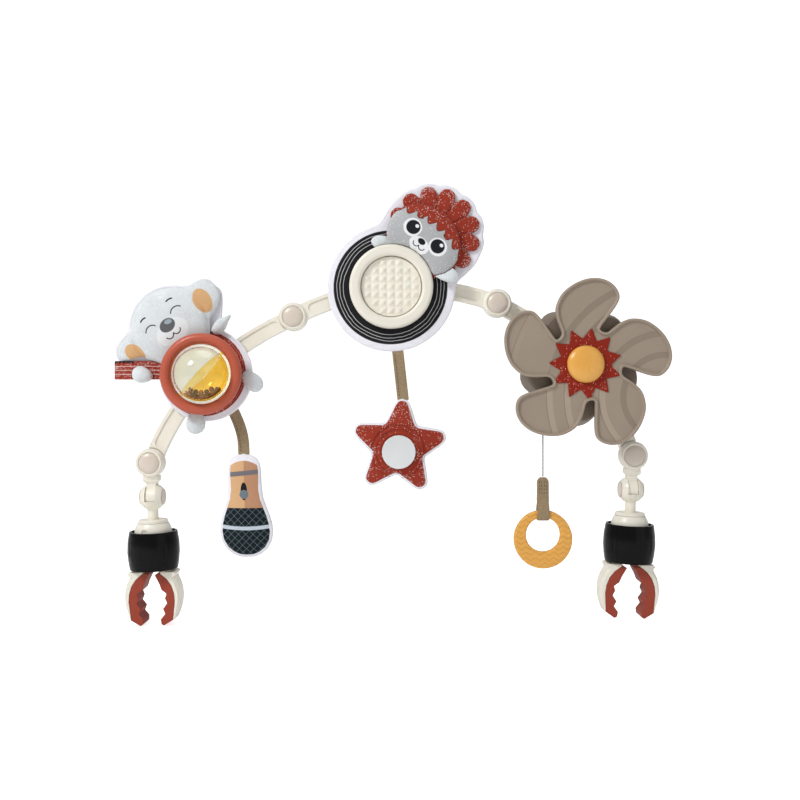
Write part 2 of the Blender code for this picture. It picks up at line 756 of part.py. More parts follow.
def arm_channel(line, front):
    """Cutter for the shallow channel along an arm's front."""
    first = line.share(CHANNEL_START + CHANNEL_WIDTH / 2)
    outline = line.slot(CHANNEL_WIDTH / 2, first, 1 - first)
    return prism(outline, front - OVERRUN, front + CHANNEL_DEPTH)


def side_arm(line):
    """An arm whose two ends are the rear halves of their hinges."""
    front, back = SIDE_ARM_FRONT, SIDE_ARM_FRONT + ARM_DEPTH
    lap = SEAT_GAP / 2
    made = prism(line.band(ARM_WIDTH / 2, 0, 1), front, back)
    for hinge in (line.start, line.end):
        lug = rod(REAR_LUG_RADIUS, hinge + Vector((0, front / 2, 0)),
                  hinge + Vector((0, LUG_DEPTH, 0)), ROUND_SIDES)
        made = joined(made, lug)
        room = rod(BOSS_RADIUS + SLACK, hinge + Vector((0, front - OVERRUN, 0)),
                   hinge + Vector((0, lap, 0)), ROUND_SIDES)
        bore = rod(PIVOT_RADIUS + RUN_GAP, hinge + Vector((0, front - OVERRUN, 0)),
                   hinge + Vector((0, back + OVERRUN, 0)))
        made = cut(made, room, bore)
    floor = front + CHANNEL_DEPTH + ARM_WALL
    return cut(made, arm_channel(line, front), *arm_pockets(line, floor, back))


def centre_arm(line):
    """An arm whose two ends are the front halves of their hinges."""
    front, back = -LUG_DEPTH, ARM_DEPTH - LUG_DEPTH
    made = prism(line.band(ARM_WIDTH / 2, 0, 1), front, back)
    for hinge in (line.start, line.end):
        room = rod(REAR_LUG_RADIUS + SLACK, hinge - Vector((0, LUG_DEPTH / 2, 0)),
                   hinge + Vector((0, back + OVERRUN, 0)), ROUND_SIDES)
        made = cut(made, room)
        made = joined(made, hinge_boss(hinge, -LUG_DEPTH - BOSS_STAND))
        made = cut(made, *hinge_front(hinge))
    floor = front + CHANNEL_DEPTH + ARM_WALL
    return cut(made, arm_channel(line, front), *arm_pockets(line, floor, back))


# Clamps: every height counts from the grip's centre

COLLAR_TOP = COLLAR_BOTTOM + COLLAR_HEIGHT
DOME_TOP = COLLAR_TOP + DOME_RISE
CORE_BOTTOM = COLLAR_BOTTOM + CORE_FOOT
CHAMBER_BOTTOM = CORE_BOTTOM + CORE_BLOCK
CHAMBER_TOP = CHAMBER_BOTTOM + CORE_CHAMBER
JAW_PIN_LEVEL = COLLAR_BOTTOM + JAW_PIN_HEIGHT
BALL_LEVEL = COLLAR_TOP + COLLAR_TO_BALL
KNEE_LEVEL = BALL_LEVEL + BALL_TO_KNEE


def clamp_core(notch_side):
    """The fixed inner body: jaw pins below, plunger chamber, and the dome on top."""
    inner = CORE_RADIUS - CORE_WALL
    ceiling = DOME_TOP - DOME_ROOF
    profile = [(0, CORE_BOTTOM), (CORE_RADIUS, CORE_BOTTOM), (CORE_RADIUS, COLLAR_TOP),
               *((CORE_RADIUS - taper, COLLAR_TOP + DOME_RISE * up) for taper, up in DOME_SHOULDERS),
               (DOME_TOP_RADIUS, DOME_TOP),
               (POST_RADIUS + RUN_GAP, DOME_TOP), (POST_RADIUS + RUN_GAP, ceiling),
               (POST_HEAD_RADIUS + SLACK, ceiling), (POST_HEAD_RADIUS + SLACK, CHAMBER_TOP),
               (inner, CHAMBER_TOP), (inner, CHAMBER_BOTTOM), (0, CHAMBER_BOTTOM)]
    made = turned(profile, closed=False)
    slot = block((-CORE_RADIUS - OVERRUN, -CORE_SLOT_HALF, CORE_BOTTOM - OVERRUN),
                 (CORE_RADIUS + OVERRUN, CORE_SLOT_HALF, CHAMBER_BOTTOM + SLACK))
    windows = block((-LUG_SLOT_HALF, -CORE_RADIUS - OVERRUN, CHAMBER_BOTTOM),
                    (LUG_SLOT_HALF, CORE_RADIUS + OVERRUN, CHAMBER_BOTTOM + PLUNGER_PLATE + PLUNGER_ROOM))
    made = cut(made, slot, windows)
    reach = CORE_SLOT_HALF + JAW_PIN_ROOT
    for side in (-1, 1):
        across = side * JAW_PIN_SPREAD
        made = joined(made, rod(JAW_PIN_RADIUS, (across, -reach, JAW_PIN_LEVEL),
                                (across, reach, JAW_PIN_LEVEL), 12))
    notch = rod(NOTCH_RADIUS, (-NOTCH_OFFSET, notch_side * (CORE_RADIUS + OVERRUN), COLLAR_TOP),
                (-NOTCH_OFFSET, notch_side * (CORE_RADIUS - CORE_WALL), COLLAR_TOP), 12)
    return cut(made, notch)


def clamp_collar():
    """The grip collar: a barrel outside, and a sleeve on a web that runs on the core."""
    end = COLLAR_RADIUS - COLLAR_END_TAPER
    bore = CORE_RADIUS + RUN_GAP
    web_top = COLLAR_TOP - COLLAR_TOP_GROOVE
    sleeve_low = COLLAR_BOTTOM + COLLAR_SKIRT
    belly = next(up for taper, up in COLLAR_BARREL_SHARES if not taper)
    profile = [(COLLAR_RADIUS - COLLAR_END_TAPER * taper, COLLAR_BOTTOM + COLLAR_HEIGHT * up)
               for taper, up in COLLAR_BARREL_SHARES]
    profile += [(end - COLLAR_WALL, COLLAR_TOP), (end - COLLAR_WALL, web_top), (bore, web_top),
                (bore, sleeve_low), (bore + COLLAR_SLEEVE_WALL, sleeve_low),
                (bore + COLLAR_SLEEVE_WALL, web_top - COLLAR_WEB),
                (COLLAR_RADIUS - 2 * COLLAR_WALL, web_top - COLLAR_WEB),
                (COLLAR_RADIUS - COLLAR_WALL - SLACK, COLLAR_BOTTOM + COLLAR_HEIGHT * belly),
                (end - COLLAR_WALL, COLLAR_BOTTOM)]
    made = turned(profile)
    for index in range(GRIP_GROOVES):
        angle = GRIP_GROOVE_TURN + math.tau * index / GRIP_GROOVES
        reach = COLLAR_RADIUS + GRIP_GROOVE_RADIUS - GRIP_GROOVE_DEPTH
        spot = Vector((reach * math.cos(angle), reach * math.sin(angle), 0))
        groove = rod(GRIP_GROOVE_RADIUS, spot + Vector((0, 0, COLLAR_BOTTOM + GRIP_GROOVE_MARGIN)),
                     spot + Vector((0, 0, COLLAR_TOP - GRIP_GROOVE_MARGIN)), 10)
        made = cut(made, groove)
    return made


def clamp_plunger(jaws_open):
    """The threaded plunger: a plate with two tongues, and a flanged rod for the jaws' levers.

    It rests lower where the jaws rest more open.
    """
    sink = PLUNGER_PER_JAW_TURN * jaws_open
    low = CHAMBER_BOTTOM + PLUNGER_LIFT - sink
    plate = CORE_RADIUS - CORE_WALL - RUN_GAP
    foot = JAW_PIN_LEVEL + JAW_LEVER_RISE - JAW_LEVER_HALF - SLACK - sink
    profile = [(0, foot - PLUNGER_FLANGE_THICK), (PLUNGER_FLANGE_RADIUS, foot - PLUNGER_FLANGE_THICK),
               (PLUNGER_FLANGE_RADIUS, foot), (PLUNGER_ROD_RADIUS, foot), (PLUNGER_ROD_RADIUS, low),
               (plate, low), (plate, low + PLUNGER_PLATE), (0, low + PLUNGER_PLATE)]
    made = turned(profile, 24, closed=False)
    reach = CORE_RADIUS - SEAT_GAP
    tongues = block((-PLUNGER_TONGUE_HALF, -reach, low + SLACK),
                    (PLUNGER_TONGUE_HALF, reach, low + PLUNGER_PLATE - SLACK))
    return joined(made, tongues)


def jaw_turn(side, opening):
    """Turns a jaw about its pin; a positive opening swings its tip outwards."""
    pin = Vector((side * JAW_PIN_SPREAD, 0, JAW_PIN_LEVEL))
    turn = Matrix.Rotation(-side * opening, 4, "Y")
    return Matrix.Translation(pin) @ turn @ Matrix.Translation(-pin)


def jaw_shell(side, opening):
    """The beige outer jaw: a rounded shell, its shoulder, and a tail with an eye and a lever."""
    seam = offset_outline(scaled_pairs(PAD_BACK_SHARES, JAW_HALF_WIDTH, JAW_REACH), SEAT_GAP, closed=False)
    outer = scaled_pairs(SHELL_OUTER_SHARES, JAW_HALF_WIDTH, JAW_REACH)
    soft_outer = []
    for x, z in outer:
        near = min(seam, key=lambda point: (point[0] - x) ** 2 + (point[1] - z) ** 2)
        soft_outer.append((x + (near[0] - x) * JAW_EDGE_SHARE, z + (near[1] - z) * JAW_EDGE_SHARE))
    soft_outer = [soft if z < JAW_REACH * JAW_SOFT_BELOW else (x, z)
                  for soft, (x, z) in zip(soft_outer, outer)]
    full, soft = seam + outer, seam + soft_outer
    half = JAW_DEPTH / 2
    rings = [(soft, -half), (full, JAW_EDGE - half), (full, half - JAW_EDGE), (soft, half)]
    made = stacked([[Vector((side * x, depth, z)) for x, z in ring] for ring, depth in rings])
    tail_half = CORE_SLOT_HALF - JAW_TAIL_GAP
    tail = prism([(side * x, z) for x, z in scaled_pairs(TAIL_SHARES, JAW_HALF_WIDTH, JAW_REACH)],
                 -tail_half, tail_half)
    pin = (side * JAW_PIN_SPREAD, JAW_PIN_LEVEL)
    eye = rod(JAW_EYE_RADIUS, (pin[0], -tail_half, pin[1]), (pin[0], tail_half, pin[1]))
    lever_level = JAW_PIN_LEVEL + JAW_LEVER_RISE
    lever = block((min(side * JAW_LEVER_END, pin[0]), -tail_half, lever_level - JAW_LEVER_HALF),
                  (max(side * JAW_LEVER_END, pin[0]), tail_half, lever_level + JAW_LEVER_HALF))
    made = joined(made, tail, eye, lever)
    made = cut(made, rod(JAW_PIN_RADIUS + RUN_GAP, (pin[0], -half, pin[1]), (pin[0], half, pin[1]), 12))
    return moved(made, jaw_turn(side, opening))


def jaw_pad(side, opening):
    """The rubber pad that lines a jaw and wraps its tip, with its row of teeth."""
    outline = scaled_pairs(PAD_TEETH_SHARES + PAD_BACK_SHARES, JAW_HALF_WIDTH, JAW_REACH)
    made = prism([(side * x, z) for x, z in outline], -JAW_DEPTH / 2, JAW_DEPTH / 2)
    return moved(made, jaw_turn(side, opening))


def swivel_stem():
    """The post that turns in the dome, its flange, the stem and the fork of the ball joint."""
    post_top = DOME_TOP + SEAT_GAP
    head_top = DOME_TOP - DOME_ROOF - SEAT_GAP
    flange_top = post_top + FLANGE_THICK
    stem_top = BALL_LEVEL - BALL_RADIUS + STEM_RADIUS
    profile = [(0, head_top - POST_HEAD_THICK), (POST_HEAD_RADIUS, head_top - POST_HEAD_THICK),
               (POST_HEAD_RADIUS, head_top), (POST_RADIUS, head_top), (POST_RADIUS, post_top),
               (FLANGE_RADIUS, post_top), (FLANGE_RADIUS, flange_top - FLANGE_ROUND),
               (FLANGE_RADIUS - FLANGE_ROUND, flange_top), (STEM_RADIUS, flange_top),
               (STEM_RADIUS, stem_top), (0, stem_top)]
    made = turned(profile, 20, closed=False)
    flat = math.asin(BALL_HALF_WIDTH / BALL_RADIUS)
    arc = [flat * (step / 3 - 1) for step in range(7)]
    ball_profile = [(0, -BALL_HALF_WIDTH)]
    ball_profile += [(BALL_RADIUS * math.cos(angle), BALL_RADIUS * math.sin(angle)) for angle in arc]
    ball_profile += [(0, BALL_HALF_WIDTH)]
    made = joined(made, turned(ball_profile, 20, False, ALONG_X, (0, 0, BALL_LEVEL)))
    gap = TONGUE_HALF + SEAT_GAP
    gate = block((-gap, -BALL_RADIUS - OVERRUN, BALL_LEVEL - CROTCH_DROP),
                 (gap, BALL_RADIUS + OVERRUN, BALL_LEVEL + BALL_RADIUS + OVERRUN))
    cup = rod(TONGUE_RADIUS + SLACK, (-gap, 0, BALL_LEVEL), (gap, 0, BALL_LEVEL), 24)
    hole = rod(TILT_PIN_RADIUS + RUN_GAP, (-BALL_RADIUS, 0, BALL_LEVEL), (BALL_RADIUS, 0, BALL_LEVEL))
    return cut(made, gate, cup, hole)


def tilt_pin():
    """The pin of the ball joint with a low cap at each side."""
    seat = BALL_HALF_WIDTH + SEAT_GAP
    side = [(TILT_CAP_RADIUS * out, seat + TILT_CAP_RISE * rise) for out, rise in TILT_CAP_SHARES]
    side.append((TILT_PIN_RADIUS, seat))
    profile = side + [(radius, -height) for radius, height in reversed(side)]
    return turned(profile, 16, False, ALONG_X, (0, 0, BALL_LEVEL))


def knuckle():
    """The tongue in the fork, its neck, and the front half of the knee hinge."""
    made = rod(TONGUE_RADIUS, (-TONGUE_HALF, 0, BALL_LEVEL), (TONGUE_HALF, 0, BALL_LEVEL), 24)
    neck_top = KNEE_LEVEL - REAR_LUG_RADIUS - SLACK
    fork_top = BALL_LEVEL + BALL_RADIUS + NECK_TOP_CLEAR
    levels = [(BALL_LEVEL, TONGUE_HALF, NECK_HALF_DEPTH, NECK_HALF_DEPTH),
              (fork_top, TONGUE_HALF, NECK_HALF_DEPTH, NECK_HALF_DEPTH),
              (fork_top + NECK_SHOULDER, NECK_HALF_WIDTH, LUG_DEPTH, NECK_HALF_DEPTH),
              (neck_top, NECK_HALF_WIDTH, LUG_DEPTH, NECK_HALF_DEPTH)]
    rings = [[Vector((-half, -front, level)), Vector((half, -front, level)), Vector((half, back, level)),
              Vector((-half, back, level))] for level, half, front, back in levels]
    made = joined(made, stacked(rings))
    knee = Vector((0, 0, KNEE_LEVEL))
    made = joined(made, hinge_boss(knee, -LUG_DEPTH - BOSS_STAND))
    hole = rod(TILT_PIN_RADIUS + RUN_GAP, (-BALL_RADIUS, 0, BALL_LEVEL), (BALL_RADIUS, 0, BALL_LEVEL))
    return cut(made, hole, *hinge_front(knee))


def add_clamp(side_name, knee, lean, jaws_open, notch_side, hangs):
    """One whole clamp below its knee at a lean; returns its bodies.

    Each body's empty sits where it turns on the one before it: counted from the
    bar up for the clamp that holds the toy, and from the arm down for the other.
    """
    hang = Matrix.Translation((0, 0, -KNEE_LEVEL))
    place = Matrix.Translation(knee) @ Matrix.Rotation(-lean, 4, "Y") @ hang

    def put(made, name, colour, pivot):
        return fitted(moved(made, place), side_name + "_" + name, colour, pivot)

    levels = (DOME_TOP, BALL_LEVEL, KNEE_LEVEL) if hangs else (0, DOME_TOP, BALL_LEVEL)
    core = body(side_name + "_clamp", place @ Vector((0, 0, levels[0])))
    collar = body(side_name + "_collar", place @ Vector((0, 0, COLLAR_BOTTOM)), core)
    plunger = body(side_name + "_plunger", place @ Vector((0, 0, CHAMBER_BOTTOM)), core)
    stem = body(side_name + "_stem", place @ Vector((0, 0, levels[1])))
    ball = body(side_name + "_knuckle", place @ Vector((0, 0, levels[2])))
    put(clamp_core(notch_side), "clamp_core", "cream", core)
    put(clamp_collar(), "clamp_collar", "black", collar)
    put(clamp_plunger(jaws_open), "clamp_plunger", "taupe", plunger)
    for side, word in ((-1, "outer"), (1, "inner")) if side_name == "left" else ((-1, "inner"), (1, "outer")):
        pin = Vector((side * JAW_PIN_SPREAD, 0, JAW_PIN_LEVEL))
        pivot = body(side_name + "_" + word + "_jaw", place @ pin, core)
        put(jaw_shell(side, jaws_open), word + "_jaw", "cream", pivot)
        put(jaw_pad(side, jaws_open), word + "_jaw_pad", "pad", pivot)
    put(swivel_stem(), "swivel_stem", "cream", stem)
    put(tilt_pin(), "tilt_pin", "taupe", stem)
    put(knuckle(), "knuckle", "cream", ball)
    put(pivot_button(Vector((0, 0, KNEE_LEVEL))), "knee_pivot", "taupe", ball)
    return core, stem, ball


# Toys

def clip_hooks(seat, front, arm_front):
    """Two hooks that reach round an arm's edges from a plate in front of it."""
    arm_back = arm_front + ARM_DEPTH
    inner = ARM_WIDTH / 2 + RUN_GAP
    hooks = []
    for side in (-1, 1):
        profile = [(inner + CLIP_WALL, front), (inner + CLIP_WALL, arm_back + SEAT_GAP + CLIP_LIP_THICK),
                   (inner - CLIP_LIP, arm_back + SEAT_GAP + CLIP_LIP_THICK),
                   (inner - CLIP_LIP, arm_back + SEAT_GAP), (inner, arm_back + SEAT_GAP), (inner, front)]
        half = CLIP_LENGTH / 2
        hook = stacked([[Vector((along, depth, side * across)) for across, depth in profile]
                        for along in (-half, half)])
        turn = Matrix.Rotation(-seat.turn, 4, "Y")
        hooks.append(moved(hook, Matrix.Translation(seat.hook) @ turn))
    return hooks


def toy_clip(seat, arm_front, radius, hole_radius):
    """A round plate with its two hooks, open in its middle."""
    back = arm_front - SEAT_GAP
    front = back - CLIP_PLATE
    at = seat.at
    made = rod(radius, at + Vector((0, front, 0)), at + Vector((0, back, 0)), ROUND_SIDES)
    made = joined(made, *clip_hooks(seat, front + SLACK, arm_front))
    hole = rod(hole_radius, at + Vector((0, front - OVERRUN, 0)), at + Vector((0, back + OVERRUN, 0)), 20)
    return cut(made, hole), front


def rattle_ring(at, stand, foot):
    """The rubbery ring and the skirt that carries it, with sockets for the ball's stubs."""
    inner, outer = RATTLE_SKIRT_INNER, RATTLE_SKIRT_OUTER
    start = math.acos((inner - RATTLE_RING_RADIUS) / RATTLE_TUBE_RADIUS)
    finish = math.tau + math.acos((outer - RATTLE_RING_RADIUS) / RATTLE_TUBE_RADIUS)
    profile = [(inner, foot)]
    steps = 10
    for step in range(steps + 1):
        angle = start + (finish - start) * step / steps
        profile.append((RATTLE_RING_RADIUS + RATTLE_TUBE_RADIUS * math.cos(angle),
                        stand + RATTLE_TUBE_RADIUS * math.sin(angle)))
    profile.append((outer, foot))
    made = turned(profile, FINE_SIDES, True, ALONG_Y, at)
    axis = Vector((math.cos(RATTLE_AXIS_TURN), 0, math.sin(RATTLE_AXIS_TURN)))
    centre = at + Vector((0, stand, 0))
    for way in (-1, 1):
        socket = rod(RATTLE_STUB_RADIUS + RUN_GAP, centre + axis * way * RATTLE_BALL_RADIUS,
                     centre + axis * way * (RATTLE_BALL_RADIUS + RATTLE_STUB_LENGTH + SLACK), 12)
        made = cut(made, socket)
    return made


def rattle_half(centre, pole):
    """Half of the hollow rattle ball, on the side of its pole direction."""
    outer, inner = RATTLE_BALL_RADIUS, RATTLE_BALL_RADIUS - RATTLE_BALL_WALL
    lift = SEAT_GAP / 2
    steps = 5
    profile = [(outer * math.sin(math.pi / 2 * step / steps), outer * math.cos(math.pi / 2 * step / steps))
               for step in range(steps)]
    profile += [(math.sqrt(outer ** 2 - lift ** 2), lift), (math.sqrt(inner ** 2 - lift ** 2), lift)]
    profile += [(inner * math.cos(math.pi / 2 * step / steps), inner * math.sin(math.pi / 2 * step / steps))
                for step in range(1, steps)]
    profile += [(0, inner)]
    made = turned(profile, 24, closed=False)
    turn = Vector((0, 0, 1)).rotation_difference(pole).to_matrix().to_4x4()
    return moved(made, Matrix.Translation(centre) @ turn)


def rattle_beads(centre):
    """The beads at the bottom of the ball, touching their neighbours as one cluster."""
    track = RATTLE_BALL_RADIUS - RATTLE_BALL_WALL - SLACK - BEAD_RADIUS
    pitch = BEAD_PITCH_SHARE * BEAD_RADIUS / track
    made = None
    for index in range(BEAD_COUNT):
        angle = -math.pi / 2 + pitch * (index - (BEAD_COUNT - 1) / 2)
        spot = centre + Vector((track * math.cos(angle), 0, track * math.sin(angle)))
        rows = [(BEAD_RADIUS * math.sin(math.pi * step / 5), BEAD_RADIUS * math.cos(math.pi * step / 5))
                for step in range(1, 5)]
        bead = turned([(0, BEAD_RADIUS)] + rows + [(0, -BEAD_RADIUS)], 8, closed=False)
        turn = Matrix.Rotation(BEAD_TURN * index, 4, "Z")
        moved(bead, Matrix.Translation(spot) @ turn)
        made = bead if made is None else joined(made, bead)
    return made


def merged_outline(centre, circles, sides):
    """The outline of overlapping circles, read as the farthest reach at each angle from a centre."""
    outline = []
    for side in range(sides):
        angle = math.tau * side / sides
        way = Vector((math.cos(angle), math.sin(angle)))
        reach = 0.0
        for spot, radius in circles:
            away = Vector(spot) - Vector(centre)
            along = away.dot(way)
            inside = radius ** 2 - (away.length_squared - along ** 2)
            if inside > 0:
                reach = max(reach, along + math.sqrt(inside))
        outline.append((centre[0] + reach * way.x, centre[1] + reach * way.y))
    return outline


def bear_circles(head, border):
    """The circles of the bear's round face and its two round ears, each grown by a border."""
    circles = [(head, BEAR_HEAD_RADIUS + border)]
    for turn in (BEAR_LEAN + BEAR_EAR_LIFT, BEAR_LEAN + math.pi - BEAR_EAR_LIFT):
        ear = (head[0] + BEAR_EAR_OUT * math.cos(turn), head[1] + BEAR_EAR_OUT * math.sin(turn))
        circles.append((ear, BEAR_EAR_RADIUS + border))
    return circles


def add_rattle_toy(seat, pivot):
    """The rattle ball in its ring, on a felt backing with a stuffed bear."""
    arm_front = SIDE_ARM_FRONT
    at = seat.at
    outer = RATTLE_SKIRT_OUTER
    clip, plate_front = toy_clip(seat, arm_front, outer, RATTLE_CLIP_HOLE)
    fitted(clip, "rattle_clip", "cream", pivot)
    stand = arm_front - RATTLE_STAND
    head = (at.x + BEAR_HEAD_RIGHT, at.z + BEAR_HEAD_UP)
    felt_back = arm_front - 2 * SEAT_GAP - CLIP_PLATE / 2
    felt_front = felt_back - FELT_THICK
    middle = (at.x, at.z)
    felt_circles = [(middle, RATTLE_FELT_RADIUS)] + bear_circles(head, FELT_BORDER)
    felt = prism(merged_outline(middle, felt_circles, FELT_SIDES), felt_front, felt_back)
    felt = cut(felt, rod(outer + RUN_GAP, at + Vector((0, felt_front - OVERRUN, 0)),
                         at + Vector((0, felt_back + OVERRUN, 0)), ROUND_SIDES))
    fitted(felt, "rattle_backing", "felt", pivot)
    soft_back = felt_front - SEAT_GAP
    left, top = at.x - TAB_REACH, at.z + TAB_DROP + TAB_WIDTH / 2
    tab = block((left, soft_back - TAB_THICK, top - TAB_WIDTH), (left + TAB_LENGTH, soft_back, top))
    tab_room = block((left - SLACK, soft_back - TAB_THICK - SLACK, top - TAB_WIDTH - SLACK),
                     (left + TAB_LENGTH + SLACK, soft_back + SLACK, top + SLACK))
    fitted(tab, "striped_tab", "mane", pivot)
    face_line = merged_outline(head, bear_circles(head, 0.0), HEAD_SIDES)
    face = stuffed(face_line, head, soft_back, BEAR_HEAD_THICK)
    keep = rod(outer + SLACK, at + Vector((0, stand, 0)), at + Vector((0, felt_back, 0)), ROUND_SIDES)
    fitted(cut(face, keep, tab_room), "bear_head", "grey", pivot)
    limbs = (("bear_left_paw", BEAR_LEFT_PAW, TAB_THICK + SEAT_GAP), ("bear_right_paw", BEAR_RIGHT_PAW, 0.0),
             ("bear_left_foot", BEAR_LEFT_FOOT, 0.0), ("bear_right_foot", BEAR_RIGHT_FOOT, 0.0))
    for name, (beyond, way, length, width, turn), lift in limbs:
        reach = outer + beyond
        spot = (at.x + reach * math.cos(way), at.z + reach * math.sin(way))
        outline = paw_outline(spot, length, width, turn)
        fitted(stuffed(outline, spot, soft_back - lift, LIMB_THICK, steps=3), name, "grey", pivot)
    fitted(rattle_ring(at, stand, plate_front - SEAT_GAP), "rattle_ring", "ring", pivot)
    centre = at + Vector((0, stand, 0))
    axis = Vector((math.cos(RATTLE_AXIS_TURN), 0, math.sin(RATTLE_AXIS_TURN)))
    flat = Vector((math.sin(RATTLE_AXIS_TURN), 0, -math.cos(RATTLE_AXIS_TURN)))
    pole = flat * math.cos(RATTLE_SPLIT_TURN) + Vector((0, 1, 0)) * math.sin(RATTLE_SPLIT_TURN)
    ball = body("rattle_ball", centre, pivot)
    clear, amber = rattle_half(centre, -pole), rattle_half(centre, pole)
    for way in (-1, 1):
        start = centre + axis * way * (RATTLE_BALL_RADIUS - RATTLE_BALL_WALL * RATTLE_STUB_ROOT_SHARE)
        end = centre + axis * way * (RATTLE_BALL_RADIUS + RATTLE_STUB_LENGTH)
        amber = joined(amber, rod(RATTLE_STUB_RADIUS, start, end, 12))
        clear = cut(clear, rod(RATTLE_STUB_RADIUS + RUN_GAP, start - axis * way * OVERRUN, end, 12))
    fitted(clear, "rattle_clear_half", "clear", ball)
    fitted(amber, "rattle_amber_half", "amber", ball)
    fitted(rattle_beads(centre), "rattle_beads", "bead", ball)
    return ball


def disc_ring(at, back):
    """The ring of the disc toy with the floor that the pad turns on."""
    front = back - DISC_RING_DEPTH
    rounding = DISC_RING_ROUND
    floor = back - DISC_RING_FLOOR
    hole = SPINDLE_RADIUS + RUN_GAP
    shoulder = front + rounding * DISC_RING_INNER_SHARE
    profile = [(hole, back), (DISC_RING_RADIUS - rounding / 2, back), (DISC_RING_RADIUS, back - rounding / 2),
               (DISC_RING_RADIUS, front + rounding),
               (DISC_RING_RADIUS - rounding * DISC_RING_OUTER_SHARE, shoulder),
               (DISC_RING_RADIUS - rounding, front), (DISC_RING_INNER + rounding, front),
               (DISC_RING_INNER + rounding * DISC_RING_INNER_SHARE, shoulder),
               (DISC_RING_INNER, front + rounding), (DISC_RING_INNER, floor), (hole, floor)]
    return turned(profile, FINE_SIDES, True, ALONG_Y, at)


def studded_pad(at, back, spindle_end):
    """The turning pad with its field of pyramid studs and its spindle."""
    front = back - PAD_THICK
    profile = [(0, spindle_end), (SPINDLE_RADIUS, spindle_end), (SPINDLE_RADIUS, back), (PAD_RADIUS, back),
               (PAD_RADIUS, front), (0, front)]
    made = turned(profile, ROUND_SIDES, False, ALONG_Y, at)
    points = []
    faces = []
    half = STUD_PITCH * STUD_BASE_SHARE / 2
    reach = int(STUD_FIELD / STUD_PITCH)
    for row in range(-reach, reach + 1):
        for column in range(-reach, reach + 1):
            across, up = column * STUD_PITCH, row * STUD_PITCH
            if math.hypot(across, up) > STUD_FIELD:
                continue
            first = len(points)
            for corner_x, corner_z in ((-half, -half), (half, -half), (half, half), (-half, half)):
                points.append(at + Vector((across + corner_x, front + STUD_SINK, up + corner_z)))
            points.append(at + Vector((across, front - STUD_RISE, up)))
            faces += [(first, first + 1, first + 2, first + 3)]
            faces += [(first + side, first + (side + 1) % 4, first + 4) for side in range(4)]
    return joined(made, mesh_object("studs", points, faces))


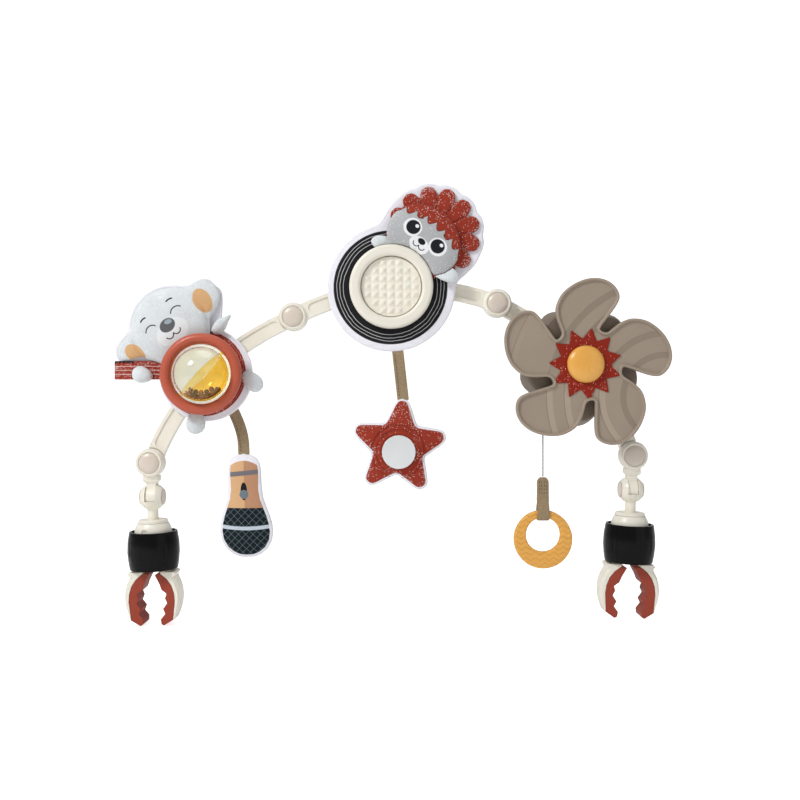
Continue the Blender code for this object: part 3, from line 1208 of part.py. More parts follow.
def add_disc_toy(seat, pivot):
    """The studded pad in its ring on a round felt backing with a stuffed lion."""
    arm_front = -LUG_DEPTH
    at = seat.at
    boss_radius = SPINDLE_RADIUS + RUN_GAP + SPINDLE_BOSS_WALL
    clip, plate_front = toy_clip(seat, arm_front, CLIP_LENGTH, SPINDLE_RADIUS)
    felt_back = plate_front - SEAT_GAP
    felt_front = felt_back - FELT_THICK
    boss = rod(boss_radius, at + Vector((0, felt_front, 0)), at + Vector((0, plate_front + SLACK, 0)), 20)
    clip = joined(clip, boss)
    clip = cut(clip, rod(SPINDLE_RADIUS + RUN_GAP, at + Vector((0, felt_front - OVERRUN, 0)),
                         at + Vector((0, arm_front + OVERRUN, 0))))
    fitted(clip, "disc_clip", "cream", pivot)
    middle = (at.x, at.z)
    crown = (at.x + LION_MANE_RIGHT, at.z + LION_MANE_UP)
    halo = (crown, LION_MANE_RADIUS + LION_MANE_SCALLOP + FELT_BORDER)
    felt_line = merged_outline(middle, [(middle, DISC_FELT_RADIUS), halo], FELT_SIDES)
    felt = prism(felt_line, felt_front, felt_back)
    felt = cut(felt, rod(boss_radius + RUN_GAP, at + Vector((0, felt_front - OVERRUN, 0)),
                         at + Vector((0, felt_back + OVERRUN, 0)), 20))
    fitted(felt, "disc_backing", "felt", pivot)
    soft_back = felt_front - SEAT_GAP
    upper_back = soft_back - LION_MANE_THICK - SEAT_GAP

    def ring_room():
        return rod(DISC_RING_RADIUS + SLACK, at + Vector((0, upper_back - 2 * LION_HEAD_THICK, 0)),
                   at + Vector((0, felt_back, 0)), FINE_SIDES)

    def paw_parts(place, grown):
        right, up, length, width, turn = place
        spot = (at.x + right, at.z + up)
        return paw_outline(spot, length + 2 * grown, width + 2 * grown, turn), spot

    mane_back_ring = scalloped(crown, LION_MANE_RADIUS, LION_MANE_SCALLOP, LION_MANE_SCALLOPS)
    mane_front_ring = scalloped(crown, LION_MANE_RADIUS - LION_MANE_EDGE, LION_MANE_SCALLOP,
                                LION_MANE_SCALLOPS)
    levels = ((mane_back_ring, soft_back), (mane_back_ring, soft_back - LION_MANE_THICK + LION_MANE_EDGE),
              (mane_front_ring, soft_back - LION_MANE_THICK))
    mane = stacked([[Vector((x, depth, z)) for x, z in ring] for ring, depth in levels])
    paw_room, spot = paw_parts(LION_LEFT_PAW, SLACK)
    mane = cut(mane, ring_room(), prism(paw_room, soft_back - 2 * LION_MANE_THICK, felt_back))
    fitted(mane, "lion_mane", "mane", pivot)
    face = (at.x + LION_HEAD_RIGHT, at.z + LION_HEAD_UP)
    head_line = oval_outline(face, LION_HEAD_WIDTH, LION_HEAD_HEIGHT, LION_LEAN)
    head = stuffed(head_line, face, upper_back, LION_HEAD_THICK)
    fitted(cut(head, ring_room()), "lion_head", "grey", pivot)
    outline, spot = paw_parts(LION_LEFT_PAW, 0.0)
    paw = cut(stuffed(outline, spot, soft_back, LION_PAW_THICK, steps=3), ring_room())
    fitted(paw, "lion_left_paw", "grey", pivot)
    outline, spot = paw_parts(LION_RIGHT_PAW, 0.0)
    face_room = oval_outline(face, LION_HEAD_WIDTH + 2 * SLACK, LION_HEAD_HEIGHT + 2 * SLACK, LION_LEAN)
    paw = cut(stuffed(outline, spot, upper_back, LION_PAW_THICK, steps=3), ring_room(),
              prism(face_room, upper_back - 2 * LION_HEAD_THICK, felt_back))
    fitted(paw, "lion_right_paw", "grey", pivot)
    ring_back = soft_back
    fitted(disc_ring(at, ring_back), "disc_ring", "cream", pivot)
    pad_body = body("studded_pad", at, pivot)
    pad_back = ring_back - DISC_RING_FLOOR - PAD_LIFT
    pad = studded_pad(at, pad_back, felt_back + CLIP_PLATE - SLACK)
    fitted(pad, "studded_pad", "cream", pad_body)
    return pad_body


def petal_outline(centre):
    """The outline of all five petals, each the same curve turned on by a fifth."""
    outline = []
    pitch = math.tau / PETALS
    for index in range(PETALS):
        for reach, turn in PETAL_OUTLINE_SHARES[1:]:
            angle = PETAL_FIRST_TURN + pitch * (turn - index)
            outline.append((centre.x + PETAL_REACH * reach * math.cos(angle),
                            centre.z + PETAL_REACH * reach * math.sin(angle)))
    return outline


def housing_outline(centre, reach, waist):
    """A round outline with five soft lobes, which show between the petals."""
    outline = []
    for side in range(HOUSING_SIDES):
        angle = math.tau * side / HOUSING_SIDES
        radius = (reach + waist + (reach - waist) * math.cos(PETALS * (angle - HOUSING_TURN))) / 2
        outline.append((centre.x + radius * math.cos(angle), centre.z + radius * math.sin(angle)))
    return outline


def housing_solid(centre, front, back, inset):
    """The housing's tapered outside, or its inside when inset by its wall."""
    front_line = housing_outline(centre, HOUSING_REACH - HOUSING_TAPER - inset,
                                 HOUSING_WAIST - HOUSING_FRONT_WAIST_TAPER - inset)
    back_line = housing_outline(centre, HOUSING_REACH - inset, HOUSING_WAIST - inset)
    return stacked([[Vector((x, depth, z)) for x, z in ring] for ring, depth in
                    ((front_line, front), (back_line, back))])


def add_flower_toy(seat, pivot):
    """The flower on its drum and housing, with the pull cord, its tab and the teether."""
    arm_front = SIDE_ARM_FRONT
    at = seat.at
    back = arm_front - SEAT_GAP
    front = back - HOUSING_DEPTH
    floor = back - HOUSING_FLOOR
    cord_x = at.x - DRUM_RADIUS - CORD_DIAMETER / 2 - SEAT_GAP
    drum_back = floor - SLACK
    drum_front = drum_back - DRUM_DEPTH
    cord_y = (drum_back + drum_front) / 2
    petal_back = arm_front - PETAL_STAND

    housing = housing_solid(at, front, back, 0.0)
    cord_exit = at.z - HOUSING_WAIST * CORD_EXIT_SHARE
    eyelet = rod(EYELET_RADIUS, (cord_x, cord_y, cord_exit - EYELET_LENGTH / 2),
                 (cord_x, cord_y, cord_exit + EYELET_LENGTH / 2), 12)
    housing = joined(housing, eyelet)
    housing = cut(housing, housing_solid(at, front - OVERRUN, floor, HOUSING_WALL))
    bore = rod(CORD_DIAMETER / 2 + RUN_GAP, (cord_x, cord_y, cord_exit - EYELET_LENGTH),
               (cord_x, cord_y, cord_exit + EYELET_LENGTH), 10)
    axle = rod(AXLE_RADIUS, at + Vector((0, petal_back + SLACK, 0)), at + Vector((0, floor + SLACK, 0)), 20)
    housing = cut(joined(housing, axle, *clip_hooks(seat, back - SLACK, arm_front)), bore)
    fitted(housing, "flower_housing", "housing", pivot)

    spin = body("flower", at, pivot)
    rim = DRUM_RADIUS + DRUM_FLANGE
    hole = AXLE_RADIUS + RUN_GAP
    rear_flange, front_flange = drum_back - DRUM_FLANGE_THICK, drum_front + DRUM_FLANGE_THICK
    inner_radius = DRUM_RADIUS - DRUM_WALL
    drum_profile = [(hole, drum_back), (rim, drum_back), (rim, rear_flange), (DRUM_RADIUS, rear_flange),
                    (DRUM_RADIUS, front_flange), (rim, front_flange), (rim, drum_front),
                    (inner_radius, drum_front), (inner_radius, rear_flange), (HUB_RADIUS, rear_flange),
                    (HUB_RADIUS, drum_front), (hole, drum_front)]
    fitted(turned(drum_profile, ROUND_SIDES, True, ALONG_Y, at), "cord_drum", "cream", spin)

    outline = petal_outline(at)
    petal_front = petal_back - PETAL_THICK
    rim_front = petal_front - PETAL_RIM_RISE
    inner = offset_outline(outline, PETAL_RIM_WIDTH)
    floor_line = offset_outline(outline, PETAL_RIM_WIDTH + PETAL_RIM_SLOPE)
    levels = [(outline, petal_back), (outline, rim_front), (inner, rim_front), (floor_line, petal_front)]
    petals = stacked([[Vector((x, depth, z)) for x, z in ring] for ring, depth in levels])
    hub = rod(HUB_RADIUS, at + Vector((0, petal_back - SLACK, 0)),
              at + Vector((0, drum_front - SEAT_GAP, 0)), 20)
    petals = joined(petals, hub)
    petals = cut(petals, rod(hole, at + Vector((0, petal_back, 0)), at + Vector((0, drum_front, 0)), 20),
                 rod(BADGE_RADIUS + SEAT_GAP, at + Vector((0, rim_front - OVERRUN, 0)),
                     at + Vector((0, petal_front + BADGE_SEAT, 0)), FINE_SIDES))
    fitted(petals, "flower_petals", "petal", spin)

    badge_back = petal_front + BADGE_SEAT - SEAT_GAP
    badge_front = badge_back - BADGE_THICK
    badge = prism(star_outline((at.x, at.z), BADGE_RADIUS, BADGE_WAIST, BADGE_POINTS, BADGE_FIRST_TURN),
                  badge_front, badge_back)
    fitted(badge, "flower_badge", "badge", spin)
    button_line = circle_outline((at.x, at.z), BUTTON_RADIUS)
    button = stuffed(button_line, (at.x, at.z), badge_front - SEAT_GAP, BUTTON_RISE)
    fitted(button, "flower_button", "yellow", spin)

    cord_top = at.z + CORD_HIDDEN_RISE
    cord_end = at.z - CORD_DROP
    cord_body = body("pull_cord", (cord_x, cord_y, cord_end), pivot)
    curve = bpy.data.curves.new("pull_cord", "CURVE")
    curve.dimensions = "3D"
    curve.bevel_depth = CORD_DIAMETER / 2
    curve.bevel_resolution = 2
    curve.use_fill_caps = True
    spline = curve.splines.new("POLY")
    spline.points.add(CORD_POINTS - 1)
    for index, point in enumerate(spline.points):
        share = index / (CORD_POINTS - 1)
        point.co = (0, 0, (cord_top - cord_end) * (1 - share), 1)
    cord = bpy.data.objects.new("pull_cord", curve)
    bpy.context.scene.collection.objects.link(cord)
    curve.materials.append(material("cord"))
    cord.parent = cord_body

    teether_body = body("teether", (cord_x, cord_y, cord_end), cord_body)
    strap_top = cord_end - SWING_GAP
    strap_low = strap_top - STRAP_LENGTH
    loop_half = TEETHER_THICK / 2 + SLACK + STRAP_THICK
    side_line = [(-STRAP_THICK, strap_top), (-STRAP_THICK, strap_low + STRAP_LOOP_HEIGHT * STRAP_NECK_SHARE),
                 (-loop_half, strap_low + STRAP_LOOP_HEIGHT * STRAP_SHOULDER_SHARE),
                 (-loop_half, strap_low + STRAP_THICK),
                 (-loop_half + STRAP_THICK, strap_low)]
    side_line += [(-depth, height) for depth, height in reversed(side_line)]
    half = STRAP_WIDTH / 2
    strap = stacked([[Vector((cord_x + across, cord_y + depth, height)) for depth, height in side_line]
                     for across in (-half, half)])
    loop_floor = strap_low + STRAP_THICK
    room_half = TEETHER_THICK / 2 + SLACK
    room_top = loop_floor + STRAP_LOOP_HEIGHT * STRAP_ROOM_SHARE
    room = block((cord_x - STRAP_WIDTH, cord_y - room_half, loop_floor),
                 (cord_x + STRAP_WIDTH, cord_y + room_half, room_top))
    fitted(cut(strap, room), "pull_tab", "ribbon", teether_body)
    hole_top = loop_floor + TEETHER_SEAT
    teether = teether_ring(Vector((cord_x, cord_y, hole_top - TEETHER_HOLE_RADIUS - TEETHER_HOLE_UP)))
    fitted(teether, "teether_ring", "yellow", teether_body)
    return spin


def teether_ring(centre):
    """A thick ring whose hole sits above its middle; each section is a rounded block."""
    sides = 32
    half = TEETHER_THICK / 2
    rounding = TEETHER_ROUND
    points = []
    for side in range(sides):
        angle = math.tau * side / sides
        way = Vector((math.cos(angle), 0, math.sin(angle)))
        outer = way * TEETHER_RADIUS
        inner = way * TEETHER_HOLE_RADIUS + Vector((0, 0, TEETHER_HOLE_UP))
        span = inner - outer
        step = span.normalized() * rounding
        section = [outer + step + Vector((0, -half, 0)), outer + Vector((0, rounding - half, 0)),
                   outer + Vector((0, half - rounding, 0)), outer + step + Vector((0, half, 0)),
                   inner - step + Vector((0, half, 0)), inner + Vector((0, half - rounding, 0)),
                   inner + Vector((0, rounding - half, 0)), inner - step + Vector((0, -half, 0))]
        points += [centre + point for point in section]
    faces = []
    count = 8
    for side in range(sides):
        base, following = side * count, (side + 1) % sides * count
        for index in range(count):
            after = (index + 1) % count
            faces.append((base + index, base + after, following + after, following + index))
    return mesh_object("teether", points, faces)


def ribbon_strip(top, drop, side, bow, y_middle):
    """A flat ribbon that hangs from its top edge with a slight sideways bow."""
    rings = []
    half_width, half_thick = RIBBON_WIDTH / 2, RIBBON_THICK / 2
    for step in range(RIBBON_STEPS + 1):
        share = step / RIBBON_STEPS
        x = top[0] + side * share + bow * math.sin(math.pi * share)
        z = top[1] - drop * share
        slope = Vector((side + bow * math.pi * math.cos(math.pi * share), -drop)).normalized()
        across = Vector((-slope.y, slope.x)) * half_width
        rings.append([Vector((x - across.x, y_middle - half_thick, z - across.y)),
                      Vector((x + across.x, y_middle - half_thick, z + across.y)),
                      Vector((x + across.x, y_middle + half_thick, z + across.y)),
                      Vector((x - across.x, y_middle + half_thick, z - across.y))])
    return stacked(rings)


def add_microphone(seat, pivot):
    """A soft microphone on a ribbon below the rattle toy."""
    at = seat.at
    felt_middle = SIDE_ARM_FRONT - 2 * SEAT_GAP - CLIP_PLATE / 2 - FELT_THICK / 2
    top = (at.x + MIC_RIBBON_TOP[0], at.z + MIC_RIBBON_TOP[1])
    swing = body("microphone", (top[0], felt_middle, top[1]), pivot)
    ribbon = ribbon_strip(top, MIC_RIBBON_DROP, MIC_RIBBON_SIDE, MIC_RIBBON_BOW, felt_middle)
    fitted(ribbon, "mic_ribbon", "ribbon", swing)
    mic_top = top[1] - MIC_RIBBON_DROP - SLACK
    mic_x = top[0] + MIC_RIBBON_SIDE
    right = [(mic_x + MIC_SIDE * down + MIC_HALF_WIDTH * across, mic_top - MIC_LENGTH * down)
             for across, down in MIC_OUTLINE_SHARES]
    left = [(mic_x + MIC_SIDE * down - MIC_HALF_WIDTH * across, mic_top - MIC_LENGTH * down)
            for across, down in reversed(MIC_OUTLINE_SHARES[1:-1])]
    centre = (mic_x + MIC_SIDE * MIC_CENTRE_SHARE, mic_top - MIC_LENGTH * MIC_CENTRE_SHARE)
    mic = stuffed(right + left, centre, felt_middle, MIC_THICK / 2, MIC_THICK / 2, 4)
    fitted(mic, "toy_microphone", "mic", swing)
    return swing


def add_star(seat, pivot):
    """A soft star with a mirror on a ribbon below the disc toy."""
    at = seat.at
    felt_middle = -LUG_DEPTH - 2 * SEAT_GAP - CLIP_PLATE - FELT_THICK / 2
    top = (at.x + STAR_RIBBON_TOP[0], at.z + STAR_RIBBON_TOP[1])
    swing = body("star", (top[0], felt_middle, top[1]), pivot)
    ribbon = ribbon_strip(top, STAR_RIBBON_DROP, STAR_RIBBON_SIDE, 0.0, felt_middle)
    fitted(ribbon, "star_ribbon", "ribbon", swing)
    tip_turn = math.pi / 2 + STAR_TURN
    tip = Vector((top[0] + STAR_RIBBON_SIDE, top[1] - STAR_RIBBON_DROP - SLACK))
    reach = STAR_RADIUS * STAR_TIP_SHARE
    centre = (tip.x - reach * math.cos(tip_turn), tip.y - reach * math.sin(tip_turn))
    outline = []
    pitch = math.tau / 5
    for index in range(5):
        middle = tip_turn + pitch * index
        for radius, turn in ((reach, -STAR_TIP_TURN), (reach, STAR_TIP_TURN),
                             (STAR_WAIST * STAR_NOTCH_SWELL, 0.5 - STAR_NOTCH_TURN), (STAR_WAIST, 0.5),
                             (STAR_WAIST * STAR_NOTCH_SWELL, 0.5 + STAR_NOTCH_TURN)):
            angle = middle + pitch * turn
            outline.append((centre[0] + radius * math.cos(angle), centre[1] + radius * math.sin(angle)))
    star = stuffed(outline, centre, felt_middle, STAR_THICK / 2, STAR_THICK / 2, 4)
    mirror_back = felt_middle - STAR_THICK / 2 + MIRROR_THICK
    low = centre[1] - MIRROR_DROP
    recess = rod(MIRROR_RADIUS + RUN_GAP, (centre[0], mirror_back - 3 * MIRROR_THICK, low),
                 (centre[0], mirror_back + SEAT_GAP, low), ROUND_SIDES)
    fitted(cut(star, recess), "star_toy", "mane", swing)
    mirror = rod(MIRROR_RADIUS, (centre[0], mirror_back - MIRROR_THICK, low),
                 (centre[0], mirror_back, low), ROUND_SIDES)
    fitted(mirror, "star_mirror", "mirror", swing)
    return swing


def build():
    clear_scene()
    left_knee = Matrix.Rotation(-LEFT_LEAN, 4, "Y") @ Vector((0, 0, KNEE_LEVEL))
    left_line = ArmLine(left_knee, LEFT_RISE)
    centre_line = ArmLine(left_line.end, CENTRE_RISE)
    right_line = ArmLine(centre_line.end, RIGHT_RISE)

    left_core, left_stem, left_ball = add_clamp("left", left_knee, LEFT_LEAN, 0.0, -1, False)
    left_arm_body = body("left_arm", left_line.start)
    fitted(side_arm(left_line), "left_arm", "cream", left_arm_body)
    centre_body = body("centre_arm", centre_line.start)
    fitted(centre_arm(centre_line), "centre_arm", "cream", centre_body)
    fitted(pivot_button(centre_line.start), "left_shoulder_pivot", "taupe", centre_body)
    fitted(pivot_button(centre_line.end), "right_shoulder_pivot", "taupe", centre_body)
    right_arm_body = body("right_arm", right_line.start)
    fitted(side_arm(right_line), "right_arm", "cream", right_arm_body)
    right_core, right_stem, right_ball = add_clamp("right", right_line.end, RIGHT_LEAN, RIGHT_JAWS_OPEN, 1,
                                                   True)

    rattle_seat, disc_seat = Seat(left_line, RATTLE_SEAT), Seat(centre_line, DISC_SEAT)
    add_rattle_toy(rattle_seat, left_arm_body)
    add_microphone(rattle_seat, left_arm_body)
    add_disc_toy(disc_seat, centre_body)
    add_star(disc_seat, centre_body)
    add_flower_toy(Seat(right_line, FLOWER_SEAT), right_arm_body)

    chain = (left_core, left_stem, left_ball, left_arm_body, centre_body, right_arm_body, right_ball,
             right_stem, right_core)
    for above, below in zip(chain, chain[1:]):
        below.parent = above
        below.matrix_parent_inverse = above.matrix_world.inverted()


build()
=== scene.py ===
"""Looks of the stroller arch toy: cloth, print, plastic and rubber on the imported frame.

Run main(): it dresses the CAD nodes, replaces the soft ones and sets the stage.
The frame has +X to the right, +Y away from the viewer and +Z up, in metres.
"""

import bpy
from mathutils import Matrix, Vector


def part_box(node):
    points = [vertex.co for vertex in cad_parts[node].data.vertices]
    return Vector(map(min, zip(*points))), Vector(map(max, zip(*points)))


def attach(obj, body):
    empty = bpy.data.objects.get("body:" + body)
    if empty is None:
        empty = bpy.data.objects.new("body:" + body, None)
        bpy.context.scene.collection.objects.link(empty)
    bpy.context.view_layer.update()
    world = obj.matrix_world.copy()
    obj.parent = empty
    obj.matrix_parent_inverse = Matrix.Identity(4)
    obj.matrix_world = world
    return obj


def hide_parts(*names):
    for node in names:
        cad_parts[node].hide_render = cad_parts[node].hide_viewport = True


bl_info = {
    "name": "Stroller arch toy looks",
    "version": (1, 0, 0),
    "blender": (4, 5, 0),
    "location": "3D View > Sidebar > Arch toy",
    "description": "Dresses the packed model of a stroller arch toy",
    "category": "Object",
}

import math

import bpy
import bmesh
import numpy as np
from mathutils import Vector

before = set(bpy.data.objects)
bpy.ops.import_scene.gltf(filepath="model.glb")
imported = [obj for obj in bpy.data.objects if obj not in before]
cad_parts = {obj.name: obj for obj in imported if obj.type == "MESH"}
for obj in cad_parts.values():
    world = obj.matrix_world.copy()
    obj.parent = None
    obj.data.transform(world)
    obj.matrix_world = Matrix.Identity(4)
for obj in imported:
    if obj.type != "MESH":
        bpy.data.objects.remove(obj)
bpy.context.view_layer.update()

MM = 0.001

# Places read off the CAD, (x, z) in metres
RATTLE = np.array([52.84, 222.13]) * MM
DISC = np.array([236.67, 307.62]) * MM
FLOWER = np.array([423.67, 231.47]) * MM
BEAR_HEAD = RATTLE + np.array([-33.6, 46.2]) * MM
LION_HEAD = DISC + np.array([31.7, 45.4]) * MM
LION_MANE = DISC + np.array([41.2, 52.2]) * MM
STAR_MIRROR = np.array([243.9, 146.1]) * MM
BEAR_LEAN = math.radians(38)
LION_LEAN = math.radians(-38.7)
RATTLE_CENTRE = np.array([52.84, -31.0, 222.13]) * MM
RATTLE_RADIUS = 27.0 * MM
RATTLE_WALL = 1.6 * MM

# The pull cord's route and size
CORD_TOP = (386.17 * MM, -11.6 * MM, 251.47 * MM)
CORD_END = (386.17 * MM, -11.6 * MM, 121.47 * MM)
CORD_DIAMETER = 1.6 * MM

# The petals' outline: share of the reach, and turn in fifths of a circle
PETAL_REACH = 83.6 * MM
PETAL_FIRST_TURN = math.radians(134)
PETAL_BACK = -30.2 * MM
PETAL_FLOOR = -33.7 * MM
PETAL_RIM = -36.2 * MM
PETAL_OUTLINE_SHARES = (
    (0.438, -0.085), (0.531, -0.133), (0.625, -0.168), (0.724, -0.22), (0.807, -0.30), (0.874, -0.383),
    (0.933, -0.493), (0.977, -0.60), (1.0, -0.697), (1.0, -0.795), (0.97, -0.88), (0.919, -0.947),
    (0.857, -0.99), (0.774, -0.997), (0.692, -0.987), (0.606, -0.967), (0.53, -0.944), (0.466, -0.921),
    (0.427, -0.935))
SWIRL = FLOWER + np.array([77.0, -31.5]) * MM

RAYS = 256

# Outlines drawn inside the CAD's: degrees round the centre, and the reach there in millimetres
FELT_EAR = ((66, 73, 76.2, 77.6, 80.5, 84, 92), (46.5, 50, 66, 82, 86.5, 89, 95))
RIGHT_EAR = ((12, 20, 27, 34.7, 46, 53, 58, 66, 72), (38.9, 45.5, 53.5, 59.0, 61.0, 59.5, 56.0, 46.0, 38.9))
RIGHT_PAW = ((-20, 20, 44, 60, 80, 120, 170, 200, 213, 235, 262, 290, 340, 380),
             (5.4, 7.0, 13.2, 8.4, 6.3, 5.4, 6.2, 9.8, 12.4, 12.4, 10.6, 7.0, 5.4, 7.0))
MANE_LOBES = 13

# Printing ink, the whites of the eyes, and glitter on pale and on red cloth
INK = (0.012, 0.014, 0.018)
WHITE = (0.88, 0.88, 0.9)
PALE_FLAKE = (0.95, 0.96, 0.97)
RED_FLAKE = (0.95, 0.88, 0.85)


# ---------------------------------------------------------------- settings

class ArchToyColours(bpy.types.PropertyGroup):
    """Colours of the toy's plastics, rubbers and cloths."""

    cream: bpy.props.FloatVectorProperty(
        name="Cream plastic", description="Arms, clamps and the ring of the disc toy",
        default=(0.885, 0.845, 0.735), subtype="COLOR", min=0, max=1)
    taupe: bpy.props.FloatVectorProperty(
        name="Pivot caps", description="Round caps of the arm hinges",
        default=(0.70, 0.61, 0.525), subtype="COLOR", min=0, max=1)
    black: bpy.props.FloatVectorProperty(
        name="Black plastic", description="Grip collars of the clamps",
        default=(0.007, 0.007, 0.008), subtype="COLOR", min=0, max=1)
    jaw: bpy.props.FloatVectorProperty(
        name="Jaw rubber", description="Toothed pads of the clamps",
        default=(0.34, 0.056, 0.031), subtype="COLOR", min=0, max=1)
    ring: bpy.props.FloatVectorProperty(
        name="Ring rubber", description="Soft ring of the rattle toy",
        default=(0.50, 0.098, 0.052), subtype="COLOR", min=0, max=1)
    felt: bpy.props.FloatVectorProperty(
        name="White felt", description="Backings and borders of the soft toys",
        default=(0.90, 0.895, 0.955), subtype="COLOR", min=0, max=1)
    grey: bpy.props.FloatVectorProperty(
        name="Grey plush", description="Animal heads and paws",
        default=(0.60, 0.635, 0.65), subtype="COLOR", min=0, max=1)
    red: bpy.props.FloatVectorProperty(
        name="Red plush", description="Mane, star and striped tab",
        default=(0.335, 0.040, 0.021), subtype="COLOR", min=0, max=1)
    petal: bpy.props.FloatVectorProperty(
        name="Petals", description="Moulded petals of the flower",
        default=(0.345, 0.275, 0.21), subtype="COLOR", min=0, max=1)
    # The housing is of the petals' plastic; its darker colour is painted shade, for where it lies behind the petals.
    housing: bpy.props.FloatVectorProperty(
        name="Flower housing", description="Dark housing behind the petals",
        default=(0.20, 0.155, 0.118), subtype="COLOR", min=0, max=1)
    badge: bpy.props.FloatVectorProperty(
        name="Badge", description="Pointed badge of the flower",
        default=(0.27, 0.020, 0.009), subtype="COLOR", min=0, max=1)
    yellow: bpy.props.FloatVectorProperty(
        name="Yellow", description="Flower button and teether",
        default=(0.84, 0.42, 0.075), subtype="COLOR", min=0, max=1)
    khaki: bpy.props.FloatVectorProperty(
        name="Khaki webbing", description="Ribbons and the pull tab",
        default=(0.355, 0.258, 0.148), subtype="COLOR", min=0, max=1)
    tan: bpy.props.FloatVectorProperty(
        name="Tan cloth", description="Inner ears and the microphone's handle",
        default=(0.72, 0.425, 0.205), subtype="COLOR", min=0, max=1)
    amber: bpy.props.FloatVectorProperty(
        name="Amber plastic", description="Tinted half of the rattle ball",
        default=(1.0, 0.79, 0.25), subtype="COLOR", min=0, max=1)


class ArchToySizes(bpy.types.PropertyGroup):
    """Sizes of the details that the looks add."""

    bevel: bpy.props.FloatProperty(
        name="Edge rounding", description="Width of the rounding on moulded edges",
        default=0.35 * MM, min=0.0, max=2 * MM, unit="LENGTH", precision=5)
    thread: bpy.props.FloatProperty(
        name="Thread", description="Radius of the sewing thread",
        default=0.17 * MM, min=0.05 * MM, max=1 * MM, unit="LENGTH", precision=5)
    stitch: bpy.props.FloatProperty(
        name="Stitch length", description="Length of one stitch",
        default=2.1 * MM, min=0.5 * MM, max=10 * MM, unit="LENGTH", precision=5)
    stitch_gap: bpy.props.FloatProperty(
        name="Stitch gap", description="Gap between two stitches",
        default=0.9 * MM, min=0.1 * MM, max=10 * MM, unit="LENGTH", precision=5)
    pucker: bpy.props.FloatProperty(
        name="Pucker depth", description="Depth of the gathers along a sewn edge",
        default=0.35 * MM, min=0.0, max=2 * MM, unit="LENGTH", precision=5)
    floor_level: bpy.props.FloatProperty(
        name="Floor level", description="Height of the floor under the toy",
        default=-27.2 * MM, unit="LENGTH", precision=4)


def colours():
    return bpy.context.scene.arch_toy_colours


def sizes():
    return bpy.context.scene.arch_toy_sizes


# ---------------------------------------------------------------- mesh tools

def around(count):
    """As many angles, spaced alike round a full circle."""
    return np.arange(count) * math.tau / count


def blunt(wave, power):
    """A wave with flattened tops: its sign times its size to a power."""
    return np.sign(wave) * np.abs(wave) ** power


def points_at(x, y, z):
    """A grid of points from coordinates that fill each other out."""
    return np.stack(np.broadcast_arrays(x, y, z), axis=-1)


def turned(centre, angles, reach, y):
    """A grid of points at depth y: centre plus reach times the cosine and sine of the angle."""
    return points_at(centre[0] + reach * np.cos(angles), y, centre[1] + reach * np.sin(angles))


def box(node):
    """The low corner, the high corner and the middle of a CAD node."""
    lo, hi = (np.array(corner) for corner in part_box(node))
    return lo, hi, (lo + hi) / 2


def put_mesh(name, points, faces, marks=None):
    """A smooth-shaded mesh object with its normals turned outwards and point attributes in marks."""
    mesh = bpy.data.meshes.new(name)
    mesh.from_pydata(np.asarray(points).tolist(), [], faces)
    work = bmesh.new()
    work.from_mesh(mesh)
    bmesh.ops.recalc_face_normals(work, faces=work.faces)
    work.to_mesh(mesh)
    work.free()
    for key, values in (marks or {}).items():
        layer = mesh.attributes.new(key, "FLOAT", "POINT")
        layer.data.foreach_set("value", np.asarray(values, np.float32).ravel())
    mesh.shade_smooth()
    made = bpy.data.objects.new(name, mesh)
    bpy.context.scene.collection.objects.link(made)
    return made


def surface(name, grid, marks=None, close_rows=False, close_columns=True, start=None, end=None):
    """A mesh on a grid of points, rows by columns.

    close_rows and close_columns join the last row or column to the first. start and end
    close the first and last row: with a fan to a point, or with one face where they are "face".
    """
    rows, columns = grid.shape[:2]
    numbers = np.arange(rows * columns).reshape(rows, columns)
    wide = np.vstack([numbers, numbers[:1]]) if close_rows else numbers
    wide = np.hstack([wide, wide[:, :1]]) if close_columns else wide
    quads = np.stack([wide[:-1, :-1], wide[:-1, 1:], wide[1:, 1:], wide[1:, :-1]], axis=-1)
    faces = quads.reshape(-1, 4).tolist()
    points = grid.reshape(-1, 3)
    marks = {key: np.asarray(values, float).ravel() for key, values in (marks or {}).items()}
    for tip, ring in ((start, numbers[0]), (end, numbers[-1])):
        if tip is None:
            continue
        if isinstance(tip, str):
            faces.append(ring.tolist())
            continue
        points = np.vstack([points, np.asarray(tip)[None, :]])
        fan = np.column_stack([ring, np.roll(ring, -1), np.full(len(ring), len(points) - 1)])
        faces += fan.tolist()
        marks = {key: np.append(values, values[ring].mean()) for key, values in marks.items()}
    return put_mesh(name, points, faces, marks)


def node_mesh(node):
    """Points and edges of a CAD node as whole arrays."""
    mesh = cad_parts[node].data
    points = np.empty(len(mesh.vertices) * 3)
    mesh.vertices.foreach_get("co", points)
    edges = np.empty(len(mesh.edges) * 2, int)
    mesh.edges.foreach_get("vertices", edges)
    return points.reshape(-1, 3), edges.reshape(-1, 2)


def silhouette(node, centre, blur=1.2, count=RAYS):
    """How far a node reaches in the XZ plane at each of count angles round a centre.

    A ray with direction w meets the edge p + s d at t = (p x d) / (w x d) with
    s = (p x w) / (w x d) between 0 and 1; the farthest t counts. The reach is then
    softened by a periodic bell curve, blur columns wide.
    """
    points, edges = node_mesh(node)
    flat = points[:, [0, 2]] - centre
    p, d = flat[edges[:, 0]], flat[edges[:, 1]] - flat[edges[:, 0]]
    angles = around(count)
    w = np.column_stack([np.cos(angles), np.sin(angles)])
    cross_wd = w[:, :1] * d[None, :, 1] - w[:, 1:] * d[None, :, 0]
    cross_wd = np.where(np.abs(cross_wd) < 1e-12, 1e-12, cross_wd)
    far = (p[:, 0] * d[:, 1] - p[:, 1] * d[:, 0])[None, :] / cross_wd
    along = (p[None, :, 0] * w[:, 1:] - p[None, :, 1] * w[:, :1]) / cross_wd
    reach = np.where((along > -1e-6) & (along < 1 + 1e-6), far, 0).max(axis=1)
    return angles, softened(reach, blur)


